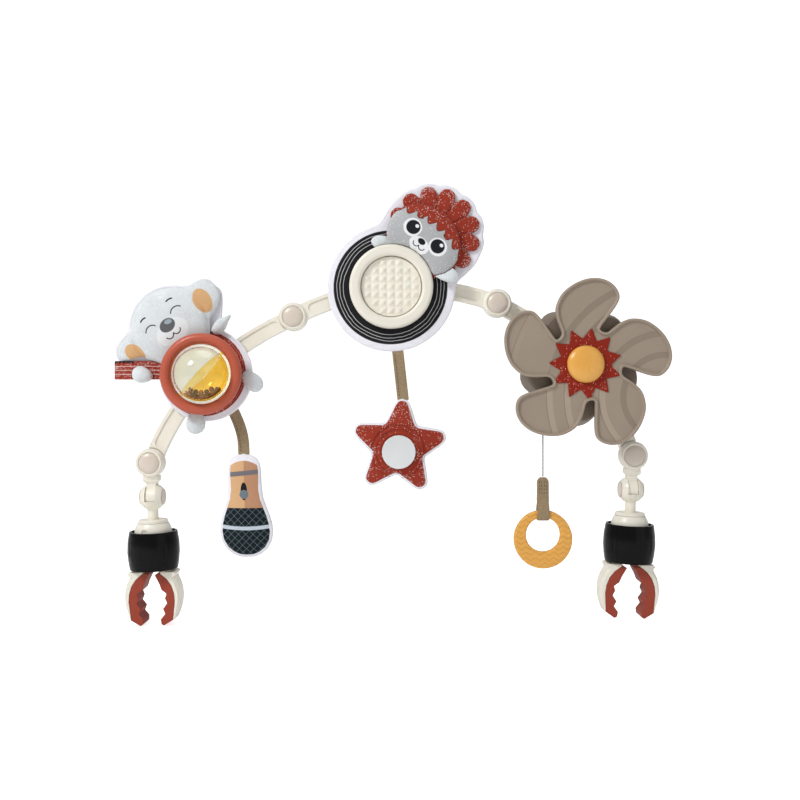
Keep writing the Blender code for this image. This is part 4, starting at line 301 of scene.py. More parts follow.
def softened(values, blur):
    """The values, periodic, under a bell curve that is blur entries wide."""
    count = len(values)
    away = np.minimum(np.arange(count), count - np.arange(count))
    bell = np.exp(-0.5 * (away / max(blur, 1e-3)) ** 2)
    return np.real(np.fft.ifft(np.fft.fft(values) * np.fft.fft(bell / bell.sum())))


def skin(centre, reach, cell=1.0 * MM, rounds=2600):
    """The height of a stretched skin blown up inside an outline, from 0 at the edge to 1.

    Each cell becomes the mean of its four neighbours plus a constant pressure, again and
    again, with 0 outside the outline. The square root of that gives an upright edge and a
    broad crown, as on a stuffed cushion. Returns a function of points in the plane.
    """
    half = int(reach.max() / cell) + 3
    spots = np.arange(-half, half + 1) * cell
    x, z = np.meshgrid(spots, spots, indexing="ij")
    turn = np.mod(np.arctan2(z, x), math.tau) / math.tau * len(reach)
    edge = np.interp(turn, np.arange(len(reach) + 1), np.append(reach, reach[0]))
    inside = (np.hypot(x, z) < edge - 0.3 * cell).astype(float)
    blown = inside * 40.0
    for _ in range(rounds):
        blown[1:-1, 1:-1] = (blown[:-2, 1:-1] + blown[2:, 1:-1] + blown[1:-1, :-2] + blown[1:-1, 2:]) / 4 + 1
        blown *= inside
    height = np.sqrt(blown / blown.max())

    def read(px, pz):
        u, v = (px - centre[0]) / cell + half, (pz - centre[1]) / cell + half
        i, j = np.clip(u.astype(int), 0, 2 * half - 1), np.clip(v.astype(int), 0, 2 * half - 1)
        a, b = np.clip(u - i, 0, 1), np.clip(v - j, 0, 1)
        return ((1 - a) * (1 - b) * height[i, j] + a * (1 - b) * height[i + 1, j]
                + (1 - a) * b * height[i, j + 1] + a * b * height[i + 1, j + 1])

    return read


def creases(points, seed, size):
    """Soft folds between -1 and 1: the mean of twelve seeded plane waves about size long."""
    dice = np.random.default_rng(seed)
    total = np.zeros(points.shape[:-1])
    for _ in range(12):
        way = dice.normal(size=2)
        way *= math.tau / (size * dice.uniform(0.7, 1.6)) / np.linalg.norm(way)
        total += np.sin(points[..., 0] * way[0] + points[..., -1] * way[1] + dice.uniform(0, math.tau))
    return total / 12 * 1.9


def stuffed(name, centre, angles, reach, seam, front, back, seed, dips=None, rows=26, back_rows=12):
    """A stuffed cloth form: two skins sewn together along its outline.

    A point at share v of the reach, at angle a, lies v * reach(a) from the centre. Its
    depth is the seam's, less the skin's height times the crown; shallow folds run over the
    crown and short gathers, a seeded mix of waves round the edge, die out away from it.
    dips(x, z) multiplies the height where the form is sewn through.
    """
    read = skin(centre, reach)
    depth = sizes().pucker

    def layer(share, crown):
        x = centre[0] + share[:, None] * reach * np.cos(angles)
        z = centre[1] + share[:, None] * reach * np.sin(angles)
        height = read(x, z) * (dips(x, z) if dips else 1)
        away = (1 - share[:, None]) * reach
        dice = np.random.default_rng(seed)
        gathers = sum(np.sin(angles * turns + dice.uniform(0, math.tau))
                      for turns in dice.integers(14, 46, 5)) / 3
        hem = np.exp(-away / (4 * MM)) * (1 - np.exp(-away / (0.8 * MM)))
        folds = creases(np.stack([x, z], axis=-1), seed, 17 * MM) * height * 0.9
        return points_at(x, seam + crown * height + np.sign(crown) * depth * (folds + gathers * hem), z)

    front_share = np.sin(np.linspace(0.04, 1, rows) * math.pi / 2)
    back_share = np.sin(np.linspace(1, 0.08, back_rows) * math.pi / 2)[1:]
    top, under = layer(front_share, front - seam), layer(back_share, back - seam)
    grid = np.concatenate([top, under])
    steep = np.gradient(np.concatenate([reach[-1:], reach, reach[:1]]))[1:-1] / (angles[1] - angles[0])
    edge = 1 - np.concatenate([front_share, back_share])[:, None]
    edge = edge * reach ** 2 / np.hypot(reach, steep) / MM
    return surface(name, grid, {"edge": edge}, start=top[0].mean(axis=0), end=under[-1].mean(axis=0))


def slab(name, centre, angles, reach, hole, front, back, seed):
    """A flat padded cloth with a round hole and a rounded, slightly wavy edge.

    The section runs from the hole to the edge on the front and back again behind; its
    half thickness is that of a quarter circle 2.2 mm from either edge, and full between.
    """
    seam, half = (front + back) / 2, (back - front) / 2
    ways = np.concatenate([np.linspace(0, 1, 24), np.linspace(1, 0, 24)[1:-1]])
    ways = 0.5 - 0.5 * np.cos(ways * math.pi)
    side = np.concatenate([np.full(24, -1.0), np.full(22, 1.0)])[:, None]
    distance = hole + ways[:, None] * (reach - hole)
    away = np.minimum(reach - distance, (distance - hole) * 1.4)
    lift = np.sqrt(np.clip(1 - (1 - np.clip(away / (2.2 * MM), 0, 1)) ** 2, 0, 1))
    grid = turned(centre, angles, distance, 0.0)
    folds = creases(grid, seed, 26 * MM)
    seam_dip = 1 - 0.28 * np.exp(-((reach - distance - 2.6 * MM) / (0.5 * MM)) ** 2)
    grid[..., 1] = seam + side * half * lift * seam_dip * (0.94 + 0.05 * folds)
    return surface(name, grid, {"edge": (reach - distance) / MM}, close_rows=True)


def lathe(name, profile, centre, count=128):
    """A turned form about the Y axis through a centre, from closed (radius, y) points."""
    profile = np.asarray(profile, float)
    return surface(name, turned(centre, around(count), profile[:, :1], profile[:, 1:]), close_rows=True)


def smooth_loop(points, steps):
    """A closed Catmull-Rom curve through points, with steps points to each span."""
    p = np.asarray(points, float)
    before, after, last = np.roll(p, 1, 0), np.roll(p, -1, 0), np.roll(p, -2, 0)
    t = (np.arange(steps) / steps)[None, :, None]
    p0, p1, p2, p3 = (q[:, None, :] for q in (before, p, after, last))
    spans = 0.5 * (2 * p1 + (p2 - p0) * t + (2 * p0 - 5 * p1 + 4 * p2 - p3) * t ** 2
                   + (3 * p1 - p0 - 3 * p2 + p3) * t ** 3)
    return spans.reshape(-1, p.shape[1])


def tube_faces(rows, columns):
    """The faces of a tube of rows rings of points, closed at both ends."""
    faces = [[columns * r + c, columns * r + (c + 1) % columns, columns * (r + 1) + (c + 1) % columns,
              columns * (r + 1) + c] for r in range(rows - 1) for c in range(columns)]
    return faces + [list(range(columns)), list(range(columns * (rows - 1), columns * rows))]


def placed_copies(name, shape, faces, spots, axes, marks=None):
    """One mesh of a small shape repeated at spots, each turned by its own three axes."""
    points = np.einsum("vi,kij->kvj", shape, axes) + spots[:, None, :]
    count = len(shape)
    starts = np.arange(len(spots))[:, None] * count
    flat = [face for one in faces for face in (np.asarray(one) + starts).tolist()]
    marks = {key: np.repeat(values, count) for key, values in (marks or {}).items()}
    return put_mesh(name, points.reshape(-1, 3), flat, marks)


def spaced(path, step):
    """Points every step metres along a path, with their unit directions."""
    path = np.asarray(path, float)
    runs = np.linalg.norm(np.diff(path, axis=0), axis=1)
    total = np.concatenate([[0], np.cumsum(runs)])
    count = max(2, int(total[-1] / step))
    where = (np.arange(count) + 0.5) * total[-1] / count
    spots = np.column_stack([np.interp(where, total, path[:, axis]) for axis in range(3)])
    ahead = np.column_stack([np.interp(where + step * 0.3, total, path[:, axis]) for axis in range(3)])
    behind = np.column_stack([np.interp(where - step * 0.3, total, path[:, axis]) for axis in range(3)])
    ways = ahead - behind
    return spots, ways / np.linalg.norm(ways, axis=1, keepdims=True)


def stitches(name, path, parent, colour, out=(0, -1, 0), thick=1.0):
    """A row of stitches along a path: each is a thread rounded at its ends and half sunk."""
    radius, length = sizes().thread * thick, sizes().stitch
    spots, ways = spaced(path, length + sizes().stitch_gap)
    up = np.broadcast_to(np.asarray(out, float), ways.shape)
    side = np.cross(ways, up)
    side /= np.linalg.norm(side, axis=1, keepdims=True)
    up = np.cross(side, ways)
    rows = np.array([(-0.5, 0.25), (-0.42, 0.85), (-0.25, 1.0), (0.25, 1.0), (0.42, 0.85), (0.5, 0.25)])
    width = rows[:, 1:] * radius
    shape = points_at(rows[:, :1] * length, width * np.cos(around(6)), width * np.sin(around(6))).reshape(-1, 3)
    made = placed_copies(name, shape, tube_faces(6, 6), spots, np.stack([ways, side, up], axis=1))
    made.data.materials.append(thread_material(name + "_thread", colour))
    made.parent = parent
    return made


def dress(made, material, body, replaced=()):
    """Gives a piece its material and its body, and hides the CAD nodes it replaces."""
    made.data.materials.append(material)
    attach(made, body)
    if replaced:
        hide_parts(*replaced)
    return made


# ---------------------------------------------------------------- shader tools

class Signal:
    """What a node gives out. + - * / < > and abs on it add Math nodes, so a pattern reads as a formula."""

    def __init__(self, shade, socket):
        self.shade, self.socket = shade, socket

    def __add__(self, other):
        return self.shade.math("ADD", self, other)

    def __sub__(self, other):
        return self.shade.math("SUBTRACT", self, other)

    def __rsub__(self, other):
        return self.shade.math("SUBTRACT", other, self)

    def __mul__(self, other):
        return self.shade.math("MULTIPLY", self, other)

    def __truediv__(self, other):
        return self.shade.math("DIVIDE", self, other)

    def __rtruediv__(self, other):
        return self.shade.math("DIVIDE", other, self)

    def __neg__(self):
        return self * -1

    def __abs__(self):
        return self.shade.math("ABSOLUTE", self)

    def __gt__(self, other):
        return self.shade.math("GREATER_THAN", self, other)

    def __lt__(self, other):
        return self.shade.math("LESS_THAN", self, other)

    __radd__, __rmul__ = __add__, __mul__


class Shade:
    """Short forms for adding and linking shader nodes in one tree."""

    def __init__(self, tree):
        self.tree = tree

    def node(self, kind, **settings):
        made = self.tree.nodes.new(kind)
        for key, value in settings.items():
            setattr(made, key, value)
        return made

    def feed(self, socket, value):
        """Links a signal to a socket, or sets the socket's own value."""
        if isinstance(value, Signal):
            self.tree.links.new(value.socket, socket)
        else:
            socket.default_value = (*value, 1) if socket.type == "RGBA" else value

    def put(self, node, **values):
        """Feeds a node's inputs by name, with _ for a space, and gives the node's outputs by name."""
        for key, value in values.items():
            self.feed(node.inputs[key.replace("_", " ")], value)
        return {socket.name: Signal(self, socket) for socket in node.outputs}

    def row(self, node, *values):
        """Feeds a node's inputs in order, and gives its first output."""
        for socket, value in zip(node.inputs, values):
            self.feed(socket, value)
        return Signal(self, node.outputs[0])

    def math(self, operation, *values):
        return self.row(self.node("ShaderNodeMath", operation=operation), *values)

    def cos(self, value):
        return self.math("COSINE", value)

    def sin(self, value):
        return self.math("SINE", value)

    def length(self, a, b):
        return self.math("SQRT", a * a + b * b)

    def turn(self, right, up, lean):
        """Two coordinates in a frame that leans by an angle."""
        c, n = self.cos(lean), self.sin(lean)
        return right * c + up * n, up * c - right * n

    def span(self, value, low, high, to_low=0.0, to_high=1.0, smooth=False):
        kind = "SMOOTHSTEP" if smooth else "LINEAR"
        return self.row(self.node("ShaderNodeMapRange", interpolation_type=kind), value, low, high, to_low, to_high)

    def stripe(self, off, half, soft=0.2):
        """1 where off is within half of nothing, and 0 past a soft edge."""
        return self.span(abs(off), half, half + soft, 1, 0)

    def mix(self, share, a, b, way="MIX"):
        made = self.node("ShaderNodeMix", data_type="RGBA", blend_type=way)
        for number, value in ((0, share), (6, a), (7, b)):
            self.feed(made.inputs[number], value)
        return Signal(self, made.outputs[2])

    def place(self):
        return self.put(self.node("ShaderNodeTexCoord"))["Object"]

    def mark(self, name):
        return self.put(self.node("ShaderNodeAttribute", attribute_name=name))["Fac"]

    def parts(self, vector):
        return list(self.put(self.node("ShaderNodeSeparateXYZ"), Vector=vector).values())

    def noise(self, vector, scale, detail=2.0, rough=0.5):
        return self.put(self.node("ShaderNodeTexNoise"), Vector=vector, Scale=scale, Detail=detail,
                        Roughness=rough)["Fac"]

    def bump(self, height, distance, strength=1.0, **under):
        return self.put(self.node("ShaderNodeBump"), Height=height, Distance=distance, Strength=strength,
                        **under)["Normal"]

    def group(self, pattern, **values):
        return self.put(self.node("ShaderNodeGroup", node_tree=pattern()), **values)

    def frame(self, place, centre, lean=0.0):
        return self.group(leaning_frame, Vector=place, Centre_X=centre[0], Centre_Z=centre[1], Lean=lean)


def shader_group(name, inputs, outputs):
    """Makes a node group of a pattern, once: the pattern takes a Shade and a signal for each of the group's
    inputs, and gives what each of its outputs puts out."""
    def wrap(pattern):
        def build():
            tree = bpy.data.node_groups.get(name)
            if tree is None:
                tree = bpy.data.node_groups.new(name, "ShaderNodeTree")
                for way, keys in (("INPUT", inputs), ("OUTPUT", outputs)):
                    for key in keys:
                        kind = "NodeSocketVector" if key == "Vector" else "NodeSocketFloat"
                        tree.interface.new_socket(key, in_out=way, socket_type=kind)
                s = Shade(tree)
                given = s.put(s.node("NodeGroupInput"))
                values = pattern(s, *(given[key] for key in inputs))
                s.put(s.node("NodeGroupOutput"), **dict(zip(outputs, values)))
            return tree
        return build
    return wrap


@shader_group("Leaning Frame", ("Vector", "Centre X", "Centre Z", "Lean"), ("Right", "Up"))
def leaning_frame(s, place, centre_x, centre_z, lean):
    """Object coordinates to millimetres right and up in a leaning frame round a centre."""
    x, _, z = s.parts(place)
    return s.turn((x - centre_x) * 1000, (z - centre_z) * 1000, lean)


@shader_group("Oval Print", ("Right", "Up", "At Right", "At Up", "Half Width", "Half Height", "Turn"),
              ("Mask", "Reach"))
def oval_print(s, right, up, at_right, at_up, half_width, half_height, turn):
    """A printed oval: 1 inside, 0 outside, and the reach, which is 1 on its edge."""
    a, b = s.turn(right - at_right, up - at_up, turn)
    reach = s.length(a / half_width, b / half_height)
    return s.span(reach, 0.96, 1.04, 1, 0, smooth=True), reach


@shader_group("Arc Print", ("Right", "Up", "At Right", "At Up", "Radius", "Half Thick", "Towards", "Spread"),
              ("Mask",))
def arc_print(s, right, up, at_right, at_up, radius, half_thick, towards, spread):
    """A printed arc of a circle: 1 on the line where it runs within a spread of its middle direction."""
    a, b = right - at_right, up - at_up
    reach = s.length(a, b)
    line = 1 - abs(reach - radius) / half_thick
    along = a * s.cos(towards) + b * s.sin(towards)
    within = along / s.math("MAXIMUM", reach, 0.001) - s.cos(spread)
    return [s.span(line, 0, 0.5, smooth=True) * s.span(within, 0, 0.03, smooth=True)]


@shader_group("Glitter Flakes", ("Vector", "Scale", "Amount"), ("Flakes", "Tilt"))
def glitter_flakes(s, place, scale, amount):
    """Glitter flakes: cells of about a millimetre, a few of which shine, more of them in patches."""
    cells = s.put(s.node("ShaderNodeTexVoronoi", feature="F1"), Vector=place, Scale=scale)
    dice = s.put(s.node("ShaderNodeSeparateColor"), Color=cells["Color"])
    patches = s.span(s.noise(place, 95, 3), 0.42, 0.68)
    chosen = dice["Red"] > 1 - amount * (patches + 0.25)
    return chosen * s.span(cells["Distance"], 0.28, 0.42, 1, 0), dice["Green"] * chosen


@shader_group("Plain Weave", ("Vector", "Pitch", "Lean"), ("Height", "Shade"))
def plain_weave(s, place, pitch, lean):
    """Plain woven cloth: warp and weft threads that pass over and under each other."""
    x, _, z = s.parts(place)
    turn = math.pi / pitch
    u, v = (way * turn for way in s.turn(x, z, lean))
    over = s.span(s.cos(u) * s.cos(v), -0.4, 0.4)
    threads = abs(s.sin(u)) * over + abs(s.sin(v)) * (1 - over)
    slub = s.noise(place, 420, 3) * 0.5
    return threads * 0.7 + slub, threads * 0.5 + slub


@shader_group("Moulded Grain", ("Vector", "Scale"), ("Height", "Tone"))
def moulded_grain(s, place, scale):
    """Moulded plastic: faint flow marks and a fine spark-eroded grain."""
    return s.noise(place, scale, 3, 0.6), s.noise(place, 42, 4, 0.55)


# ---------------------------------------------------------------- finishes

def scaled(colour, share):
    return tuple(min(1, share * v) for v in colour)


def new_material(name):
    """A node material with its Principled shader, as (material, Shade, shader)."""
    made = bpy.data.materials.new(name)
    made.use_nodes = True
    return made, Shade(made.node_tree), made.node_tree.nodes["Principled BSDF"]


def plastic(name, colour, rough=0.34, grain=0.02 * MM, scale=2600, coat=0.0, subsurface=0.0, gloss=0.5):
    """Moulded plastic or rubber with a fine grain and a slightly uneven tone and gloss."""
    made, s, shader = new_material(name)
    marks = s.group(moulded_grain, Vector=s.place(), Scale=scale)
    s.put(shader, Base_Color=s.mix(marks["Tone"], scaled(colour, 0.93), scaled(colour, 1.04)),
          Roughness=s.span(marks["Tone"], 0.2, 0.8, rough - 0.05, rough + 0.07),
          Normal=s.bump(marks["Height"], grain, 0.6), Specular_IOR_Level=gloss, Coat_Weight=coat,
          Coat_Roughness=0.12, Subsurface_Weight=subsurface, Subsurface_Radius=(0.004, 0.002, 0.001))
    return made, s, shader


def cloth(name, build, pitch=0.55 * MM, lean=0.0, relief=0.09 * MM):
    """Woven cloth. build(shade, place) gives its colour, its extra gloss mask and its extra height."""
    made, s, shader = new_material(name)
    place = s.place()
    weave = s.group(plain_weave, Vector=place, Pitch=pitch, Lean=lean)
    colour, gloss, height = build(s, place)
    shade = s.span(weave["Shade"], 0.2, 0.9, 0.86, 1.06) * s.span(s.noise(place, 28, 3), 0.3, 0.7, 0.95, 1.03)
    grey = s.row(s.node("ShaderNodeCombineColor"), shade, shade, shade)
    fabric = s.bump(weave["Height"], relief, 0.75)
    s.put(shader, Base_Color=s.mix(1.0, colour, grey, "MULTIPLY"),
          Roughness=0.85 if gloss is None else s.span(gloss, 0, 1, 0.85, 0.28),
          Normal=fabric if height is None else s.bump(height, 0.25 * MM, Normal=fabric),
          Sheen_Weight=0.08, Sheen_Roughness=0.45, Specular_IOR_Level=0.15)
    return made


def thread_material(name, colour):
    """Twisted sewing thread: a fine slanted ribbing over its colour."""
    made, s, shader = new_material(name)
    x, y, z = s.parts(s.place())
    twist = s.sin((x + z + y) * 9000)
    s.put(shader, Base_Color=s.mix(s.span(twist, -1, 1), scaled(colour, 0.75), colour),
          Normal=s.bump(twist, 0.05 * MM, 0.5), Roughness=0.6)
    return made


def webbing(name, colour):
    """Herringbone webbing with a thicker woven edge, on the across mark."""
    made, s, shader = new_material(name)
    place = s.place()
    x, _, z = s.parts(place)
    rib = s.sin((z * 1000 + s.math("PINGPONG", x * 1000, 1.1)) * 6.5)
    fuzz = s.span(s.noise(place, 620, 4), 0.3, 0.7)
    edge = s.span(abs(s.mark("across")), 0.8, 0.9, smooth=True)
    tone = s.mix(s.span(rib, -1, 1) * 0.55 + fuzz * 0.45, scaled(colour, 0.55), scaled(colour, 1.3))
    s.put(shader, Base_Color=s.mix(edge * 0.35, tone, scaled(colour, 0.8)),
          Normal=s.bump(rib + fuzz, 0.07 * MM, 0.8), Roughness=0.88, Sheen_Weight=0.2)
    return made


def glittered(s, place, base, amount, flake=PALE_FLAKE, scale=950):
    """Cloth colour with glitter over it, as (colour, flake mask)."""
    flakes = s.group(glitter_flakes, Vector=place, Scale=scale, Amount=amount)["Flakes"]
    return s.mix(flakes, base, flake), flakes


def felt_material(name, centre, radius, colour, rings, front, amount=0.0, line=(0.66, 0.66, 0.67)):
    """White felt with a printed disc of radius millimetres on its front, and thin rings of line on that."""
    white = colours().felt

    def build(s, place):
        at = s.frame(place, centre)
        reach = s.length(at["Right"], at["Up"])
        inside = s.span(reach, 0.995 * radius, 1.005 * radius, 1, 0) * (s.parts(place)[1] < front)
        ink, flakes = glittered(s, place, colour, amount, (0.95, 0.9, 0.88))
        distance = reach + s.span(s.noise(place, 60, 2), 0.3, 0.7, -0.5, 0.5)
        for ring in rings:
            ink = s.mix(s.stripe(distance - ring, 0.14), ink, line)
        return s.mix(inside, white, ink), flakes * inside, None
    return cloth(name, build, pitch=0.5 * MM, lean=0.3, relief=0.07 * MM)


def stamp(s, colour, at, shapes):
    """Prints shapes over a colour, in millimetres and degrees in the leaning frame.

    Each is (ink, right, up, half width, half height, turn) for an oval, or (ink, right, up,
    radius, half thickness, middle direction, spread) for an arc.
    """
    for ink, right, up, *rest in shapes:
        spot = {"Right": at["Right"], "Up": at["Up"], "At_Right": right, "At_Up": up}
        if len(rest) == 3:
            wide, high, turn = rest
            mask = s.group(oval_print, **spot, Half_Width=wide, Half_Height=high, Turn=math.radians(turn))
        else:
            radius, thick, towards, spread = rest
            mask = s.group(arc_print, **spot, Radius=radius, Half_Thick=thick, Towards=math.radians(towards),
                           Spread=math.radians(spread))
        colour = s.mix(mask["Mask"], colour, ink)
    return colour


def plush(name, build):
    """The close cloth of the heads and paws."""
    return cloth(name, build, pitch=0.45 * MM, lean=0.5, relief=0.05 * MM)


def bear_material():
    """Grey glittered cloth with the bear's printed face and its tan inner ears."""
    def build(s, place):
        colour, flakes = glittered(s, place, scaled(colours().grey, 1.16), s.span(s.mark("edge"), 3, 16, 0.7, 0.2))
        colour = s.mix(s.span(s.noise(place, 45, 2), 0.4, 0.6, 0, 0.25), colour, (0.8, 0.83, 0.845))
        return stamp(s, colour, s.frame(place, BEAR_HEAD, BEAR_LEAN), (
            (colours().tan, 41.5, 1.0, 8.6, 12.6, -8), (colours().tan, -43.0, 1.0, 7.8, 11.0, 14),
            ((0.83, 0.86, 0.87), 0.0, -5.5, 17.0, 12.0, 0),
            (INK, -15.5, 5.5, 7.0, 0.75, 90, 62), (INK, 15.5, 5.5, 7.0, 0.75, 90, 62),
            (INK, -15.5, 14.5, 7.5, 1.0, 95, 30), (INK, 15.5, 14.5, 7.5, 1.0, 85, 30),
            ((0.13, 0.13, 0.14), 0.0, 2.2, 8.2, 6.4, 0), ((0.34, 0.42, 0.47), 2.6, 4.6, 3.8, 2.3, -20),
            (INK, -4.2, -6.0, 4.2, 0.7, 270, 80), (INK, 4.2, -6.0, 4.2, 0.7, 270, 80))), flakes, None
    return plush("bear_cloth", build)


def lion_material():
    """Grey glittered cloth with the lion's printed face and its red fringe."""
    def build(s, place):
        at, red = s.frame(place, LION_HEAD, LION_LEAN), colours().red
        colour, flakes = glittered(s, place, (0.47, 0.475, 0.485), s.span(s.mark("edge"), 2, 12, 0.42, 0.08),
                                   (0.86, 0.88, 0.9))
        colour = stamp(s, colour, at, (
            (WHITE, -15.5, 2.0, 9.2, 8.8, 0), (WHITE, 15.5, 2.0, 9.2, 8.8, 0),
            (INK, -15.0, 2.4, 7.0, 6.8, 0), (INK, 15.0, 2.4, 7.0, 6.8, 0),
            (WHITE, -12.6, 5.4, 1.9, 1.7, 0), (WHITE, 17.4, 5.4, 1.9, 1.7, 0),
            (WHITE, 0.0, -7.6, 10.5, 7.5, 0), (INK, 0.0, -3.6, 4.0, 2.8, 0),
            (INK, -3.3, -7.2, 3.3, 0.6, 270, 85), (INK, 3.3, -7.2, 3.3, 0.6, 270, 85),
            (INK, -16.0, 14.6, 3.6, 1.7, 12), (INK, 16.0, 14.6, 3.6, 1.7, -12)))
        right = at["Right"]
        level = at["Up"] + right * right * 0.006 + abs(s.sin(right * 0.29)) * 6.0 - 20.4
        fringe = s.span(level, 0, 0.5)
        hair, shine = glittered(s, place, red, 0.3, RED_FLAKE, 1100)
        colour = s.mix(s.stripe(level, 0.2, 0.35), s.mix(fringe, colour, hair), scaled(red, 0.3))
        return colour, s.math("MAXIMUM", flakes, shine * fringe), fringe
    return plush("lion_cloth", build)


def grey_material(name):
    """Plain grey glittered cloth for paws, painted lighter than the bear head's grey to offset the shade the paws
    lie in.
    """
    return plush(name, lambda s, place: (*glittered(s, place, scaled(colours().grey, 1.24), 0.6), None))


def red_material(name, extra=None):
    """Red glittered cloth. extra(shade, place, colour) prints on it."""
    def build(s, place):
        dense = s.span(s.mark("edge"), 1.5, 9, 0.75, 0.16)
        colour, flakes = glittered(s, place, colours().red, dense, RED_FLAKE, 1100)
        return extra(s, place, colour) if extra else colour, flakes, None
    return cloth(name, build, pitch=0.5 * MM, lean=0.6, relief=0.06 * MM)


def clear_material(name, tint):
    """Clear or tinted thin polycarbonate with faint moulding ripples. Its low IOR keeps what is inside unbent."""
    made, s, shader = new_material(name)
    marks = s.group(moulded_grain, Vector=s.place(), Scale=70.0)
    s.put(shader, Base_Color=s.mix(marks["Tone"], tint, scaled(tint, 0.98)),
          Normal=s.bump(marks["Height"], 0.03 * MM, 0.3), Roughness=0.0, IOR=1.04, Transmission_Weight=1.0,
          Coat_Weight=1.0, Coat_Roughness=0.05, Coat_IOR=1.5)
    return made


def petal_material():
    """Taupe plastic with broad swirled steps: the moulded floor rises and falls in arcs about one centre."""
    base, grain = colours().petal, 0.015 * MM
    made, s, shader = plastic("petal_plastic", base, 0.45, grain=grain)
    place = s.place()
    at = s.frame(place, SWIRL)
    reach = s.length(at["Right"], at["Up"])
    # Painted light and shade on the steps: a band's ramp is painted lighter where it lies below the swirl centre and
    # darker where it lies above it, as light from above would fall on it. The innermost band is painted darker all
    # round and the outermost a little lighter, and a thin line of painted shade runs just outside each band.
    slope = s.span(at["Up"] / s.math("MAXIMUM", reach, 1.0), 0.05, 0.4, 1, -1)
    height = tint = line = 0.0
    for low, high, lit in ((37.5, 42.5, -1.0), (58.0, 63.5, slope), (91.5, 97.0, slope), (108.5, 114.0, slope),
                           (148.0, 153.0, 0.4)):
        height = s.span(reach, low, high) + height
        tint = (reach > low) * (reach < high) * lit + tint
        line = s.stripe(reach - (high + 0.5), 0.2, 0.4) + line
    floor = s.parts(place)[1] > PETAL_FLOOR - 0.2 * MM
    marks = s.group(moulded_grain, Vector=place, Scale=2600.0)
    colour = s.mix(marks["Tone"], scaled(base, 0.94), scaled(base, 1.05))
    # Lighter and darker copies of the petal colour, on the floor only: painted light on the bands, painted shade on
    # the bands and along the shade lines.
    for share, tone in ((s.span(tint, 0, 1) * 0.5, 1.5), (s.span(tint, 0, -1) * 0.55, 0.68), (line * 0.6, 0.55)):
        colour = s.mix(share * floor, colour, scaled(base, tone))
    s.put(shader, Base_Color=colour,
          Normal=s.bump(height * floor, 0.7 * MM, Normal=s.bump(marks["Height"], grain, 0.6)))
    return made


# ---------------------------------------------------------------- plastics

def smooth_node(node, bevel, material):
    """Gives a CAD node a material, and with modifiers welds its loose triangles and rounds its edges."""
    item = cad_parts[node]
    for key in ("custom_normal", "sharp_edge", "sharp_face"):
        layer = item.data.attributes.get(key)
        if layer:
            item.data.attributes.remove(layer)
    item.data.materials.clear()
    item.data.materials.append(material)
    item.modifiers.new("Weld", "WELD").merge_threshold = 0.01 * MM
    if not bevel:
        item.data.shade_flat()
        return
    item.data.shade_smooth()
    edge = item.modifiers.new("Edges", "BEVEL")
    edge.width, edge.segments = bevel, 2
    edge.limit_method, edge.angle_limit = "ANGLE", math.radians(32)
    edge.harden_normals = edge.use_clamp_overlap = True


def make_plastics():
    """New materials for the rigid nodes that stay, all but the star's mirror, and rounded edges on all but the
    studded pad.
    """
    c, edge = colours(), sizes().bevel
    cream = plastic("cream_plastic", c.cream, 0.36, coat=0.1, subsurface=0.08)
    for material, bevel, pairs, single in (
            (cream, edge,
             ("clamp_core", "clamp_plunger", "outer_jaw", "inner_jaw", "swivel_stem", "knuckle", "arm"),
             ("centre_arm", "rattle_clip", "disc_clip")),
            (plastic("pivot_cap_plastic", c.taupe, 0.3, coat=0.15), edge,
             ("tilt_pin", "knee_pivot", "shoulder_pivot"), ()),
            (plastic("collar_plastic", scaled(c.black, 0.55), 0.17, grain=0.006 * MM, gloss=0.13), edge,
             ("clamp_collar",), ()),
            (plastic("jaw_rubber", c.jaw, 0.5, grain=0.04 * MM, scale=1800, gloss=0.25), 0.5 * MM,
             ("outer_jaw_pad", "inner_jaw_pad"), ()),
            (plastic("housing_plastic", c.housing, 0.42, gloss=0.25), edge, (), ("flower_housing", "cord_drum"))):
        for node in [f"{side}_{part}" for part in pairs for side in ("left", "right")] + list(single):
            smooth_node(node, bevel, material[0])
    smooth_node("studded_pad", 0.0, cream[0])


# ---------------------------------------------------------------- cord and teether

